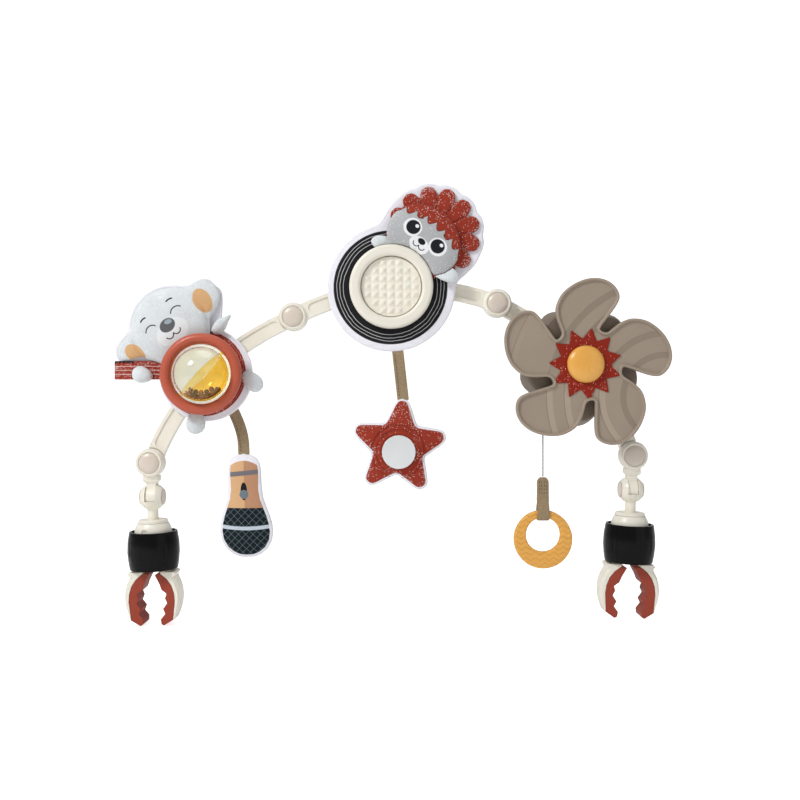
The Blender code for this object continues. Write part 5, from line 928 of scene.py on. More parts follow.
def make_cord():
    """The pull cord, its folded tab and the teether ring that hangs on it.

    The cord's radius is a sine of three strands that turn as they go down. The tab's and the
    ring's sections are flattened circles, the tab's carried along a loop round the ring.
    """
    angles, share = around(20), np.linspace(0, 1, 420)[:, None]
    twist = np.sin(angles * 3 + share * math.tau * 34)
    radius = CORD_DIAMETER / 2 * (0.93 + 0.07 * twist)
    grid = points_at(CORD_TOP[0] + radius * np.cos(angles), CORD_TOP[1] + radius * np.sin(angles),
                     CORD_TOP[2] + (CORD_END[2] - CORD_TOP[2]) * share)
    cord = surface("pull_cord_braid", grid, {"strand": 0.5 + 0.5 * twist}, start="face", end="face")
    material, s, shader = new_material("braided_cord")
    # The cord is painted dark in the valleys between its strands and pale on their crests: painted shade and light
    # on the braid.
    s.put(shader, Base_Color=s.mix(s.span(s.mark("strand"), 0.3, 0.7), (0.25, 0.27, 0.23), (0.62, 0.63, 0.57)),
          Normal=s.bump(s.noise(s.place(), 2600, 3), 0.08 * MM, 0.7), Roughness=0.8)
    dress(cord, material, "pull_cord", ["pull_cord"])

    lo, hi, middle = box("pull_tab")
    half_width, thick = (hi[0] - lo[0]) / 2 - 0.1 * MM, 1.6 * MM
    top, low = hi[2] - 0.2 * MM, lo[2] + 0.2 * MM
    loop = middle[1] - lo[1] - thick / 2
    side = np.array([(-thick * 0.55, top), (-thick * 0.56, top - 9 * MM), (-thick * 0.6, top - 17 * MM),
                     (-loop * 0.62, low + 16.5 * MM), (-loop * 0.97, low + 10 * MM), (-loop, low + 5 * MM),
                     (-loop * 0.8, low + 1.6 * MM), (-loop * 0.35, low + thick / 2)])
    line = np.vstack([side, side[::-1] * np.array([-1, 1])])
    share = np.linspace(0, 1, 90)
    fine = np.column_stack([np.interp(share, np.linspace(0, 1, len(line)), line[:, k]) for k in range(2)])
    for _ in range(3):
        fine[1:-1] = (fine[:-2] + 2 * fine[1:-1] + fine[2:]) / 4
    way = np.gradient(fine, axis=0)
    normal = np.column_stack([way[:, 1], -way[:, 0]]) / np.linalg.norm(way, axis=1, keepdims=True)
    across = blunt(np.cos(around(36)), 0.35) * half_width
    lift = blunt(np.sin(around(36)), 0.6) * thick / 2
    down = top - fine[:, 1:]
    narrow = (np.sqrt(1 - 0.75 * np.clip(1 - down / (5 * MM), 0, 1) ** 2)
              * (1 - 0.07 * np.exp(-((down - 25 * MM) / (2 * MM)) ** 2)))
    grid = points_at(middle[0] + across * narrow, middle[1] + fine[:, :1] + normal[:, :1] * lift,
                  fine[:, 1:] + normal[:, 1:] * lift)
    tab = surface("pull_tab_loop", grid, {"across": np.tile(across / half_width, (90, 1))}, start="face", end="face")
    dress(tab, webbing("tab_webbing", colours().khaki), "teether", ["pull_tab"])
    front = middle[1] - thick * 1.08
    rows = [((x, 0, 3), (x, 0.15, 17)) for x in (-0.62, -0.22, 0.22, 0.62)] + [((-0.8, 1.4, 25), (0.8, 1.4, 25))]
    for number, row in enumerate(rows):
        path = [(middle[0] + x * half_width, front - ahead * MM, top - drop * MM) for x, ahead, drop in row]
        stitches(f"tab_stitches_{number}", path, tab, (0.10, 0.068, 0.036), thick=1.5)

    lo, hi, middle = box("teether_ring")
    inner_radius, shift, rings = 16.8 * MM, 4.6 * MM, around(160)
    circle = np.column_stack([np.cos(rings), np.sin(rings)])
    bend = around(40)[:, None] + 0.05
    across = 0.5 - 0.5 * blunt(np.cos(bend), 0.45)
    flat = circle * (hi[0] - lo[0]) / 2 * (1 - across[..., None]) + (
        circle * inner_radius + np.array([0, shift])) * across[..., None]
    depth = -blunt(np.sin(bend), 0.32) * (hi[1] - lo[1]) / 2
    ring = surface("teether_ring_smooth", points_at(middle[0] + flat[..., 0], middle[1] + depth,
                                                 middle[2] + flat[..., 1]), close_rows=True)
    yellow = colours().yellow
    material, s, shader = plastic("teether_rubber", yellow, 0.42, coat=0.1, subsurface=0.15)
    x, _, z = s.parts(s.place())
    zig = s.math("PINGPONG", (x - (middle[0] - 0.1)) * 1000, 4.6)
    off = s.math("PINGPONG", (z * 1000 + zig * 0.75) / 5.3, 0.5)
    groove = s.span(off, 0.03, 0.1, smooth=True)
    # The rubber is painted darker in the grooves: painted shade in the recesses, while the grooves themselves are a
    # bump.
    s.put(shader, Base_Color=s.mix(groove, scaled(yellow, 0.84), yellow), Normal=s.bump(groove, 0.45 * MM, 0.8))
    dress(ring, material, "teether", ["teether_ring"])
    path = np.linspace(CORD_TOP, CORD_END, 30).tolist()
    2 * half_width


def ribbon(toy, body, top, bottom, y_middle, bow, seed):
    """A flat ribbon, slightly cupped, with its long edges rounded and a stitched line near the left one.

    Its middle runs from top to bottom with a sideways bow of half a sine wave, and a small
    wave of its own in depth.
    """
    rows, width, thick = 60, 11.4 * MM, 1.0 * MM
    share = np.linspace(-0.075, 1.06, rows)
    (left, high), (right, low) = top, bottom
    x = (left + (right - left) * share) * MM + bow * np.sin(math.pi * share)
    z = (high + (low - high) * share) * MM
    way = np.column_stack([np.gradient(x), np.gradient(z)])
    way /= np.linalg.norm(way, axis=1, keepdims=True)
    side = np.column_stack([-way[:, 1], way[:, 0]])
    across = blunt(np.cos(around(40)), 0.3)
    lift = -blunt(np.sin(around(40)), 0.7) * thick / 2
    wave = 0.12 * MM * np.sin(share * 9 + seed)
    grid = points_at(x[:, None] + side[:, :1] * across * width / 2,
                  y_middle + wave[:, None] + 0.1 * MM * across ** 2 + lift,
                  z[:, None] + side[:, 1:] * across * width / 2)
    made = surface(toy + "_ribbon_band", grid, {"across": np.tile(across, (rows, 1))}, start="face", end="face")
    dress(made, webbing(toy + "_ribbon_band_cloth", colours().khaki), body, [toy + "_ribbon"])
    inset = -0.28 * width * side
    line = np.column_stack([x + inset[:, 0], y_middle - thick / 2 - 0.1 * MM + wave, z + inset[:, 1]])
    stitches(toy + "_ribbon_band_stitches", line[5:-5], made, (0.075, 0.047, 0.022), thick=1.7)


# ---------------------------------------------------------------- stuffed toys

def node_pillow(name, node, centre, seam_share, seed, blur=1.2, dips=None, shape=None, **more):
    """A stuffed form that fills a CAD node's outline and depth. The seam lies near its back.

    shape(angles, reach), where given, redraws the outline inside the node's own.
    """
    lo, hi, _ = box(node)
    angles, reach = silhouette(node, centre, blur)
    reach = shape(angles, reach) if shape else reach
    seam = hi[1] - (hi[1] - lo[1]) * seam_share
    return stuffed(name, centre, angles, reach, seam, lo[1] + 0.5 * MM, hi[1] - 0.1 * MM, seed, dips, **more)


def drawn(angles, outline):
    """How far an outline table, of degrees and of millimetres, reaches at each angle."""
    return np.interp(angles, np.radians(outline[0]), outline[1], 0, 0) * MM


def make_backing(toy, body, centre, angles, reach, hole, seed, print_centre, *ink, **more):
    """A toy's felt backing with its print and its row of stitches."""
    node = toy + "_backing"
    lo, hi, middle = box(node)
    felt = slab(node + "_felt", centre, angles, reach, hole, lo[1], hi[1], seed)
    material = felt_material(toy + "_felt", centre + np.array(print_centre) * MM, *ink, front=middle[1], **more)
    dress(felt, material, body, [node])
    path = turned(centre, angles, reach - 2.6 * MM, lo[1] + 0.5 * MM)
    stitches(node + "_stitches", np.vstack([path, path[:1]]), felt, (0.72, 0.71, 0.76))


def make_paws(nodes, body, material, seed, **shapes):
    """Small stuffed paws and feet, each in its CAD node's outline or in a shape of its own."""
    for number, node in enumerate(nodes):
        paw = node_pillow(node + "_plush", node, box(node)[2][[0, 2]], 0.25, seed + number, shape=shapes.get(node))
        dress(paw, material, body, [node])


def make_rattle_toy():
    """The rattle ball in its ring on a felt backing, with the stuffed bear."""
    angles, reach = silhouette("rattle_backing", RATTLE, 1.6)
    reach = softened(np.maximum(reach, drawn(angles, FELT_EAR)), 1.0)
    make_backing("rattle", "left_arm", RATTLE, angles, reach, 32.2 * MM, 11, (-2.6, 1.2), 42.4, colours().red,
                 (40.6,), amount=0.2, line=(0.5, 0.17, 0.14))

    def ear_seams(x, z):
        away = np.hypot(x - BEAR_HEAD[0], z - BEAR_HEAD[1])
        return 1 - 0.4 * np.exp(-((away - 38.0 * MM) / (1.6 * MM)) ** 2)

    def right_ear(angles, reach):
        return softened(np.maximum(reach, drawn(angles, RIGHT_EAR)), 1.5)

    def pointed(angles, reach):
        return softened(drawn(angles, RIGHT_PAW), 1.8)
    head = node_pillow("bear_head_plush", "bear_head", BEAR_HEAD, 0.22, 21, dips=ear_seams, rows=34,
                       shape=right_ear)
    dress(head, bear_material(), "left_arm", ["bear_head"])
    make_paws(("bear_left_paw", "bear_right_paw", "bear_left_foot", "bear_right_foot"), "left_arm",
              grey_material("bear_paw_cloth"), 31, bear_right_paw=pointed)

    def stripes(s, place, colour):
        x, _, z = s.parts(place)
        height = z * 1000 + s.span(s.noise(place, 40, 1), 0.3, 0.7, -0.3, 0.3)
        for level in (222.4, 226.4, 230.2):
            colour = s.mix(s.stripe(height - level, 0.14), colour, (0.80, 0.70, 0.67))
        notch = 234.6 - s.math("PINGPONG", x * 1000, 2.1) * 0.9
        return s.mix((height > notch) * (x < -17.5 * MM), colour, INK)
    tab = node_pillow("striped_tab_cloth", "striped_tab", box("striped_tab")[2][[0, 2]], 0.5, 41, blur=0.6)
    dress(tab, red_material("striped_cloth", stripes), "left_arm", ["striped_tab"])

    back, hole, inside, step = box("rattle_ring")[1][1] - 0.1 * MM, 29.3 * MM, 31.5 * MM, -22.0 * MM
    tube, run = 5.25 * MM, 34.25 * MM
    turns = np.linspace(math.acos(-4.95 / 5.25), math.tau + math.acos(-2.75 / 5.25), 40)
    profile = [(hole, back), (hole, step)]
    profile += [(run + tube * math.cos(t), RATTLE_CENTRE[1] + tube * math.sin(t)) for t in turns]
    ring = lathe("rattle_ring_smooth", profile + [(inside, step), (inside, back)], RATTLE, 144)
    dress(ring, plastic("ring_rubber", colours().ring, 0.42, grain=0.03 * MM, scale=2000, coat=0.12, gloss=0.35)[0],
          "left_arm", ["rattle_ring"])

    turns, inner, outer, lip = np.radians(np.linspace(1.5, 84, 24)), 27.6 * MM, 28.6 * MM, -28.8 * MM
    bowl = [(radius * math.sin(t), RATTLE_CENTRE[1] + radius * math.cos(t))
            for radius, way in ((inner, 1), (outer, -1)) for t in turns[::way]]
    bowl[24:24] = [(inner, lip + 0.2 * MM), (inner + 0.3 * MM, lip), (outer + 0.3 * MM, lip)]
    # The bowl glows a little: painted light, standing in for light shining through the clear ball and the thin white
    # bowl from behind.
    white, s, shader = plastic("bowl_plastic", (0.93, 0.93, 0.90), 0.3)
    s.put(shader, Emission_Color=(0.95, 0.97, 0.92), Emission_Strength=0.5)
    dress(lathe("rattle_bowl", bowl, RATTLE, 144), white, "left_arm")
    make_ball()


def make_ball():
    """The two half shells of the rattle ball, clear and amber, on their stubs, with the loose beads inside.

    A shell's point lies at the radius from the centre, leaning from the half's pole by one
    angle and turned about it by the other. The beads lie along a track at the bottom.
    """
    tilt = math.radians(19)
    axis = np.array([1, 0, 1]) / math.sqrt(2)
    pole = np.array([axis[2], 0, -axis[0]]) * math.cos(tilt) + np.array([0, math.sin(tilt), 0])
    other = np.cross(pole, axis)
    turns = around(96)
    swing = np.linspace(0.03, math.pi / 2 - 0.004, 30)
    inner = RATTLE_RADIUS - RATTLE_WALL
    radius = np.repeat([RATTLE_RADIUS, inner], 30)[:, None, None]
    lean = np.concatenate([swing, swing[::-1]])[:, None, None]
    belt = np.cos(turns)[:, None] * axis + np.sin(turns)[:, None] * other
    shells = []
    for way, kind, tint in ((1, "amber", colours().amber), (-1, "clear", (0.97, 0.98, 0.965))):
        grid = RATTLE_CENTRE + radius * (way * np.cos(lean) * pole + np.sin(lean) * belt)
        shell = surface(f"rattle_{kind}_shell", grid, start=RATTLE_CENTRE + way * pole * RATTLE_RADIUS,
                        end=RATTLE_CENTRE + way * pole * inner)
        dress(shell, clear_material(f"rattle_{kind}_shell_plastic", tint), "rattle_ball",
              [f"rattle_{kind}_half"])
        shells.append(shell)
    side = other * np.cos(turns[::4])[:, None] + pole * np.sin(turns[::4])[:, None]
    for number, way in enumerate((-1, 1)):
        out = RATTLE_RADIUS + np.array([-0.6, 0.9, 2.04, 2.4]) * MM
        width = np.array([1.85, 1.85, 1.85, 1.5])[:, None, None] * MM
        grid = RATTLE_CENTRE + axis * way * out[:, None, None] + width * side
        stub = surface(f"rattle_stub_{number}", grid, start="face", end="face")
        stub.data.materials.append(shells[0].data.materials[0])
        stub.parent = shells[0]

    dice = np.random.default_rng(5)
    lean = (np.arange(24) // 2 - 5.5) * 0.13 + 0.12 - math.pi / 2
    depth = np.where(np.arange(24) % 2 == 0, -0.17, 0.17) + dice.uniform(-0.03, 0.03, 24)
    low = points_at(np.cos(lean) * np.cos(depth), np.sin(depth), np.sin(lean) * np.cos(depth))
    lean = np.array([-0.55, -0.3, 0.05, 0.3, 0.62]) - math.pi / 2
    upper = points_at(np.cos(lean), np.array([-0.1, 0.12, -0.14, 0.1, -0.05]), np.sin(lean))
    spots = RATTLE_CENTRE + np.vstack([(inner - 2.9 * MM) * low, (inner - 7.4 * MM) * upper])
    lat, lon = np.linspace(0, math.pi, 10)[1:-1, None], around(14)
    shape = points_at(np.sin(lat) * np.cos(lon), np.sin(lat) * np.sin(lon), np.cos(lat)).reshape(-1, 3) * 2.6 * MM
    beads = placed_copies("rattle_bead_cluster", shape, tube_faces(8, 14), spots,
                          np.repeat(np.eye(3)[None], len(spots), axis=0), {"hue": dice.uniform(0, 1, len(spots))})
    material, s, shader = new_material("bead_plastic")
    hue = s.mark("hue")
    tone = s.mix(hue > 0.38, (0.36, 0.09, 0.03), (0.10, 0.055, 0.018))
    tone = s.mix(hue > 0.72, tone, (0.07, 0.075, 0.03))
    s.put(shader, Base_Color=s.mix(s.noise(s.place(), 300, 2), tone, (0.2, 0.09, 0.03)), Roughness=0.25)
    dress(beads, material, "rattle_ball", ["rattle_beads"])


def make_disc_toy():
    """The studded pad's ring on a round black-printed backing, with the stuffed lion."""
    def notches(turn, sharp):
        return np.exp(-((1 - np.cos(MANE_LOBES * turn)) / sharp))
    angles, reach = silhouette("disc_backing", DISC, 1.6)
    edge = DISC + reach[:, None] * np.column_stack([np.cos(angles), np.sin(angles)]) - LION_MANE
    upper = np.clip((edge @ (LION_MANE - DISC)) / np.hypot(*(LION_MANE - DISC)) / (30 * MM), 0, 1)
    reach = softened(reach - 2.6 * MM * upper * notches(np.arctan2(edge[:, 1], edge[:, 0]), 0.5), 0.6)
    make_backing("disc", "centre_arm", DISC, angles, reach, 8.6 * MM, 51, (-0.8, 0.0), 56.0, (0.014, 0.014, 0.016),
                 (46.2, 49.6, 52.6))

    def lobes(x, z):
        x, z = x - LION_MANE[0], z - LION_MANE[1]
        return 1 - 0.75 * notches(np.arctan2(z, x), 0.1) * np.clip((np.hypot(x, z) - 16 * MM) / (16 * MM), 0, 1)

    def deeper(angles, reach):
        return reach - 3.4 * MM * notches(angles, 0.22)
    mane = node_pillow("lion_mane_plush", "lion_mane", LION_MANE, 0.3, 61, blur=0.6, dips=lobes, rows=40,
                       shape=deeper)
    dress(mane, red_material("mane_cloth"), "centre_arm", ["lion_mane"])
    head = node_pillow("lion_head_plush", "lion_head", LION_HEAD, 0.25, 71, rows=34)
    dress(head, lion_material(), "centre_arm", ["lion_head"])
    make_paws(("lion_left_paw", "lion_right_paw"), "centre_arm", grey_material("lion_paw_cloth"), 81)

    (_, front, _), (_, back, _), _ = box("disc_ring")
    hole, outer, inner, rounding, floor = 4.4 * MM, 40.9 * MM, 30.0 * MM, 3.4 * MM, 1.8 * MM
    turns = np.linspace(0, math.pi / 2, 12)
    crown = front + rounding
    profile = [(hole, back), (outer - 1.6 * MM, back), (outer, back - 1.6 * MM)]
    profile += [(outer - rounding * (1 - math.cos(t)), crown - rounding * math.sin(t)) for t in turns]
    profile += [(inner + rounding * (1 - math.sin(t)), crown - rounding * math.cos(t)) for t in turns]
    profile += [(inner, back - 3.0 * MM), (inner, back - floor), (hole, back - floor)]
    ring = lathe("disc_ring_smooth", profile, DISC, 144)
    dress(ring, bpy.data.materials["cream_plastic"], "centre_arm", ["disc_ring"])


# ---------------------------------------------------------------- flower

def make_flower():
    """The moulded petals with their rim, the glittered badge, the domed button and the housing's cover.

    The petals are a section carried round their smooth outline: up the edge, over a half
    circle of rim and down to the floor. The button's radius and height are powers of a sine
    and a cosine.
    """
    shares = np.array(PETAL_OUTLINE_SHARES)
    turns = PETAL_FIRST_TURN + math.tau / 5 * (shares[:, 1] - np.arange(5)[:, None])
    reach = shares[:, 0] * PETAL_REACH
    loop = smooth_loop(turned(FLOWER, turns, reach, 0.0).reshape(-1, 3)[:, [0, 2]], 7)[::-1]
    for _ in range(6):
        loop = (np.roll(loop, 1, 0) + 2 * loop + np.roll(loop, -1, 0)) / 4
    along = np.roll(loop, -1, 0) - np.roll(loop, 1, 0)
    out = np.column_stack([along[:, 1], -along[:, 0]]) / np.linalg.norm(along, axis=1, keepdims=True)
    bead, turns = 1.45 * MM, np.linspace(0, math.pi, 14)
    inset = np.concatenate([[1.2 * MM, 0.25 * MM, 0.0], bead - bead * np.cos(turns),
                            [2 * bead + 0.25 * MM, 2 * bead + 0.9 * MM]])[:, None]
    depth = np.concatenate([[PETAL_BACK, PETAL_BACK, PETAL_BACK - 0.5 * MM],
                            PETAL_RIM + bead - bead * np.sin(turns), [PETAL_FLOOR - 0.05 * MM, PETAL_FLOOR]])
    petals = surface("flower_petals_smooth", points_at(loop[:, 0] - inset * out[:, 0], depth[:, None],
                                                    loop[:, 1] - inset * out[:, 1]), start="face", end="face")
    for face in (petals.data.polygons[-1], petals.data.polygons[-2]):
        face.use_smooth = False
    material = petal_material()
    dress(petals, material, "flower", ["flower_petals"])
    bore, wide, near, far = 5.5 * MM, 9.0 * MM, PETAL_BACK + 0.3 * MM, -17.0 * MM
    hub = lathe("flower_hub", [(bore, near), (wide, near), (wide, far), (bore, far)], FLOWER, 64)
    hub.data.materials.append(material)
    hub.parent = petals
    make_housing_cover()

    lo, hi, _ = box("flower_badge")
    angles, reach = silhouette("flower_badge", FLOWER, 0.7, 330)
    rim = np.array([1.0, 1.0, 0.985, 0.955, 0.90])[:, None]
    levels = np.array([hi[1], lo[1] + 0.5 * MM, lo[1] + 0.15 * MM, lo[1], lo[1]])[:, None]
    badge = surface("flower_badge_glitter", turned(FLOWER, angles, rim * reach, levels), start="face",
                    end=np.array([FLOWER[0], lo[1] - 0.05 * MM, FLOWER[1]]))
    red = colours().badge
    material, s, shader = plastic("badge_glitter", red, gloss=0.15)
    marks = s.group(glitter_flakes, Vector=s.place(), Scale=900.0, Amount=0.2)
    s.put(shader, Base_Color=s.mix(marks["Flakes"], red, (1.0, 0.42, 0.34)),
          Roughness=s.span(marks["Flakes"], 0, 1, 0.42, 0.15), Normal=s.bump(marks["Tilt"], 0.25 * MM, 0.8))
    dress(badge, material, "flower", ["flower_badge"])

    lo, hi, _ = box("flower_button")
    lean = np.linspace(0, math.pi / 2, 22)[1:, None]
    grid = turned(FLOWER, around(96), np.sin(lean) ** 0.9 * (hi[0] - lo[0]) / 2,
                  hi[1] - (hi[1] - lo[1]) * np.cos(lean) ** 0.72)
    button = surface("flower_button_dome", grid, start=np.array([FLOWER[0], lo[1], FLOWER[1]]), end="face")
    dress(button, plastic("button_plastic", colours().yellow, 0.28, coat=0.35, subsurface=0.1)[0], "flower",
          ["flower_button"])


def make_housing_cover():
    """The lobed front of the housing behind the petals.

    At angle a the outline lies at the mean of reach and waist plus half their difference
    times the cosine of five times (a - turn). It rolls over a quarter circle at the front
    and runs in flat to a round hole for the hub.
    """
    far, waist, turn, hole = 55.3 * MM, 45.3 * MM, math.radians(51), 10.4 * MM
    back, rise, fall = -21.9 * MM, 3.2 * MM, 3.6 * MM
    angles = around(200)
    outline = (far + waist + (far - waist) * np.cos(5 * (angles - turn))) / 2
    roll = np.linspace(0, math.pi / 2, 10)
    inset = np.concatenate([[2.0 * MM], fall * (1 - np.cos(roll))])[:, None]
    depth = back - np.concatenate([[0], rise * np.sin(roll), [rise, 0]])[:, None]
    distance = np.vstack([outline - inset, np.full((2, 200), hole)])
    cover = surface("flower_housing_cover", turned(FLOWER, angles, distance, depth), close_rows=True)
    dress(cover, bpy.data.materials["housing_plastic"], "right_arm")


# ---------------------------------------------------------------- hanging toys

def make_microphone():
    """The soft microphone and the ribbon it hangs on."""
    mic = node_pillow("toy_microphone_plush", "toy_microphone", np.array([93.0, 74.3]) * MM, 0.5, 91, blur=1.4,
                      rows=34, back_rows=26)
    top = float(box("toy_microphone")[1][2]) * 1000

    def build(s, place):
        """The handle's two tones, its band and switch, and the netted head with its hoop, in millimetres
        down from the top and right of a middle line that leans a little."""
        x, y, z = s.parts(place)
        felt, down = colours().felt, top - z * 1000
        right = x * 1000 - (down * 0.037 + 90.3)
        colour = s.mix(s.span(right, -0.4, 0.4), (0.73, 0.44, 0.23), (0.535, 0.285, 0.165))
        colour = s.mix(s.stripe(down + right * 0.10 - 19.2, 2.2), colour, (0.19, 0.18, 0.19))
        colour = stamp(s, colour, {"Right": right, "Up": -down}, (
            (INK, -0.4, -37.0, 3.2, 8.8, 0), ((0.165, 0.21, 0.24), -0.4, -40.0, 4.4, 4.4, 0)))
        lines = [s.stripe(s.math("PINGPONG", down + right * way, 3.6), 0.12, 0.28) for way in (-1.0, 1.0)]
        net = s.mix(s.math("MAXIMUM", *lines) * 0.6, (0.006, 0.014, 0.019), (0.26, 0.31, 0.33))
        colour = s.mix(s.span(down, 53.2, 53.7), colour, net)
        bow = right * right
        colour = s.mix(s.stripe(down - 73.4 + bow * 0.003, 1.7, 0.25), colour, (0.58, 0.66, 0.74))
        colour = s.mix(s.span(down - bow * 0.026, 6.8, 7.1), felt, colour)
        inside = s.span(s.mark("edge"), 3.0, 3.3) * (y < -6.4 * MM)
        return s.mix(inside, felt, colour), None, None
    dress(mic, cloth("microphone_cloth", build, pitch=0.42 * MM, relief=0.05 * MM), "microphone",
          ["toy_microphone"])
    ribbon("mic", "microphone", (81.34, 182.93), (90.34, 144.6), -7.1 * MM, 2.5 * MM, 1)


def make_star():
    """The soft star with its round mirror and the ribbon it hangs on."""
    lo, hi, middle = box("star_toy")
    angles, reach = silhouette("star_toy", STAR_MIRROR, 2.4)
    seams = (21.5, 26.0)

    def rings(x, z):
        away = np.hypot(x - STAR_MIRROR[0], z - STAR_MIRROR[1]) / MM
        sewn = 0.26 * np.exp(-((away - seams[0]) / 0.9) ** 2) + 0.34 * np.exp(-((away - seams[1]) / 1.1) ** 2)
        return 1 - sewn - 0.16 / (1 + np.exp((away - 17.4) * 3))

    def border(s, place, colour):
        colour = s.mix(s.span(s.mark("edge"), 2.3, 2.65), colours().felt, colour)
        return s.mix(s.parts(place)[1] < middle[1] - 0.3 * MM, colours().felt, colour)
    star = stuffed("star_toy_plush", STAR_MIRROR, angles, reach * 1.015, middle[1], lo[1] + 0.3 * MM,
                   hi[1] - 0.3 * MM, 101, rings, rows=60, back_rows=30)
    dress(star, red_material("star_cloth", border), "star", ["star_toy"])

    # The mirror film is mostly a matte pale grey, a painted reflection of the bright studio round it; only its small
    # metallic share reflects for real.
    material, s, shader = new_material("mirror_film")
    ripple = s.noise(s.place(), 60, 2)
    s.put(shader, Base_Color=s.mix(ripple, (0.82, 0.835, 0.85), (0.90, 0.91, 0.92)),
          Normal=s.bump(ripple, 0.15 * MM, 0.25), Metallic=0.3, Roughness=0.16)
    smooth_node("star_mirror", 0.3 * MM, material)
    for number, radius in enumerate(seams):
        path = turned(STAR_MIRROR, np.linspace(0, math.tau, 120), radius * MM, 0.0)
        path[:, 1] = surface_depth(star, path)
        stitches(f"star_stitches_{number}", path, star, (0.20, 0.022, 0.012))
    ribbon("star", "star", (243.07, 244.02), (248.07, 199.3), -13.6 * MM, 0.0, 2)


def surface_depth(item, path):
    """The front of an item, as y, in front of each point of a path."""
    bpy.context.evaluated_depsgraph_get().update()
    depths = []
    for x, _, z in path:
        hit, place, _, _ = item.ray_cast(Vector((x, -1.0, z)), Vector((0, 1, 0)))
        depths.append(place.y if hit else 0.0)
    return np.array(depths) - 0.02 * MM


# ---------------------------------------------------------------- stage

def make_stage():
    """A pale floor that curves up behind, soft lights, and the camera of the photograph."""
    level, bend, wall, scene = sizes().floor_level, 1.2, 3.2, bpy.context.scene
    curve = np.linspace(0, math.pi / 2, 24)
    y = np.concatenate([[-4.0], wall - bend + bend * np.sin(curve), [wall]])[:, None]
    z = np.concatenate([[level], level + bend - bend * np.cos(curve), [6.0]])[:, None]
    floor = surface("studio_floor", points_at(np.array([-6.0, 6.0]), y, z), close_columns=False)
    material, s, shader = new_material("studio_paper")
    straight = s.put(s.node("ShaderNodeLightPath"))["Is Camera Ray"]
    s.put(shader, Base_Color=s.mix(s.noise(s.place(), 12, 3), (0.93, 0.93, 0.93), (0.96, 0.96, 0.96)),
          Roughness=0.9, Emission_Color=(1, 1, 1), Emission_Strength=s.span(straight, 0, 1, 0.12, 0.75))
    floor.data.materials.append(material)
    for name, place, size, power, aim in (
            ("key", (-0.75, -0.95, 1.25), 0.4, 17.0, (0.22, 0, 0.18)),
            ("fill", (1.25, -1.0, 0.55), 1.2, 1.9, (0.25, 0, 0.15)),
            ("top", (0.25, 0.15, 1.6), 1.0, 3.6, (0.25, 0, 0.1))):
        data = bpy.data.lights.new(name, "AREA")
        data.size, data.energy = size, power
        lamp = bpy.data.objects.new(name, data)
        lamp.location = place
        lamp.rotation_euler = (Vector(aim) - Vector(place)).to_track_quat("-Z", "Y").to_euler()
        scene.collection.objects.link(lamp)
    world = bpy.data.worlds.new("studio")
    world.use_nodes = True
    sky = Shade(world.node_tree)
    straight = sky.put(sky.node("ShaderNodeLightPath"))["Is Camera Ray"]
    sky.row(world.node_tree.nodes["Background"], (1, 1, 1), sky.span(straight, 0, 1, 0.33, 0.95))
    scene.world = world
    scene.view_settings.view_transform = "Standard"
    camera = bpy.data.cameras.new("photo_camera")
    camera.lens, camera.sensor_width = 40.5, 36.0
    camera.clip_start, camera.clip_end = 0.01, 50
    eye = bpy.data.objects.new("photo_camera", camera)
    eye.location = (0.2452, -0.9, 0.197)
    eye.rotation_euler = (math.pi / 2, 0, 0)
    scene.collection.objects.link(eye)
    scene.camera = eye


# ---------------------------------------------------------------- add-on

class ARCHTOY_OT_stage(bpy.types.Operator):
    """Make the floor, the lights and the camera."""
    bl_idname = "archtoy.stage"
    bl_label = "Stage"

    def execute(self, context):
        make_stage()
        return {"FINISHED"}


class ARCHTOY_OT_cord(bpy.types.Operator):
    """Make the pull cord, its tab and the teether."""
    bl_idname = "archtoy.cord"
    bl_label = "Pull cord"

    def execute(self, context):
        make_cord()
        return {"FINISHED"}


class ARCHTOY_OT_plastics(bpy.types.Operator):
    """Dress the arms, clamps and other rigid nodes."""
    bl_idname = "archtoy.plastics"
    bl_label = "Plastics"

    def execute(self, context):
        make_plastics()
        return {"FINISHED"}


class ARCHTOY_OT_rattle(bpy.types.Operator):
    """Make the rattle toy with its bear."""
    bl_idname = "archtoy.rattle"
    bl_label = "Rattle toy"

    def execute(self, context):
        make_rattle_toy()
        return {"FINISHED"}


class ARCHTOY_OT_disc(bpy.types.Operator):
    """Make the disc toy with its lion."""
    bl_idname = "archtoy.disc"
    bl_label = "Disc toy"

    def execute(self, context):
        make_disc_toy()
        return {"FINISHED"}


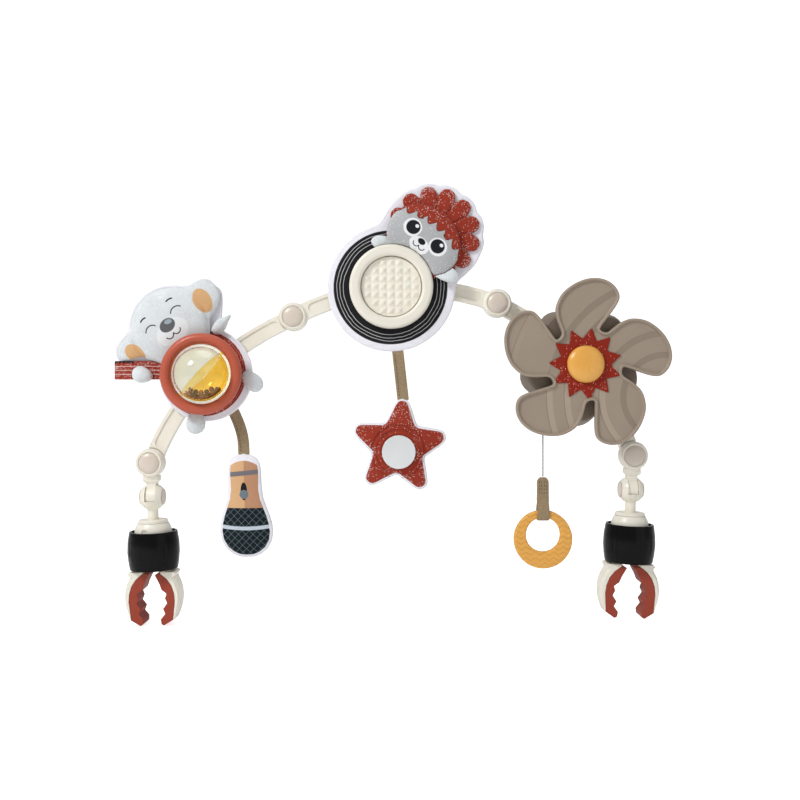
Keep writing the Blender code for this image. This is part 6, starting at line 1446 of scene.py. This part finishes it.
class ARCHTOY_OT_flower(bpy.types.Operator):
    """Make the flower's petals, badge and button."""
    bl_idname = "archtoy.flower"
    bl_label = "Flower"

    def execute(self, context):
        make_flower()
        return {"FINISHED"}


class ARCHTOY_OT_microphone(bpy.types.Operator):
    """Make the soft microphone and its ribbon."""
    bl_idname = "archtoy.microphone"
    bl_label = "Microphone"

    def execute(self, context):
        make_microphone()
        return {"FINISHED"}


class ARCHTOY_OT_star(bpy.types.Operator):
    """Make the soft star, its mirror and its ribbon."""
    bl_idname = "archtoy.star"
    bl_label = "Star"

    def execute(self, context):
        make_star()
        return {"FINISHED"}


OPERATORS = (ARCHTOY_OT_stage, ARCHTOY_OT_cord, ARCHTOY_OT_plastics, ARCHTOY_OT_rattle, ARCHTOY_OT_disc,
             ARCHTOY_OT_flower, ARCHTOY_OT_microphone, ARCHTOY_OT_star)


class ARCHTOY_PT_panel(bpy.types.Panel):
    """Colours, sizes and the pieces of the arch toy."""
    bl_idname = "ARCHTOY_PT_panel"
    bl_label = "Arch toy"
    bl_space_type = "VIEW_3D"
    bl_region_type = "UI"
    bl_category = "Arch toy"

    def draw(self, context):
        for group in (context.scene.arch_toy_colours, context.scene.arch_toy_sizes):
            box = self.layout.box()
            for key in group.__annotations__:
                box.prop(group, key)
        for operator in OPERATORS:
            self.layout.operator(operator.bl_idname)


CLASSES = (ArchToyColours, ArchToySizes, *OPERATORS, ARCHTOY_PT_panel)


def register():
    for item in CLASSES:
        bpy.utils.register_class(item)
    bpy.types.Scene.arch_toy_colours = bpy.props.PointerProperty(type=ArchToyColours)
    bpy.types.Scene.arch_toy_sizes = bpy.props.PointerProperty(type=ArchToySizes)


def unregister():
    del bpy.types.Scene.arch_toy_sizes
    del bpy.types.Scene.arch_toy_colours
    for item in reversed(CLASSES):
        bpy.utils.unregister_class(item)


def main():
    register()
    bpy.ops.archtoy.stage()
    bpy.ops.archtoy.cord()
    bpy.ops.archtoy.plastics()
    bpy.ops.archtoy.rattle()
    bpy.ops.archtoy.disc()
    bpy.ops.archtoy.flower()
    bpy.ops.archtoy.microphone()
    bpy.ops.archtoy.star()


if __name__ == "__main__":
    main()
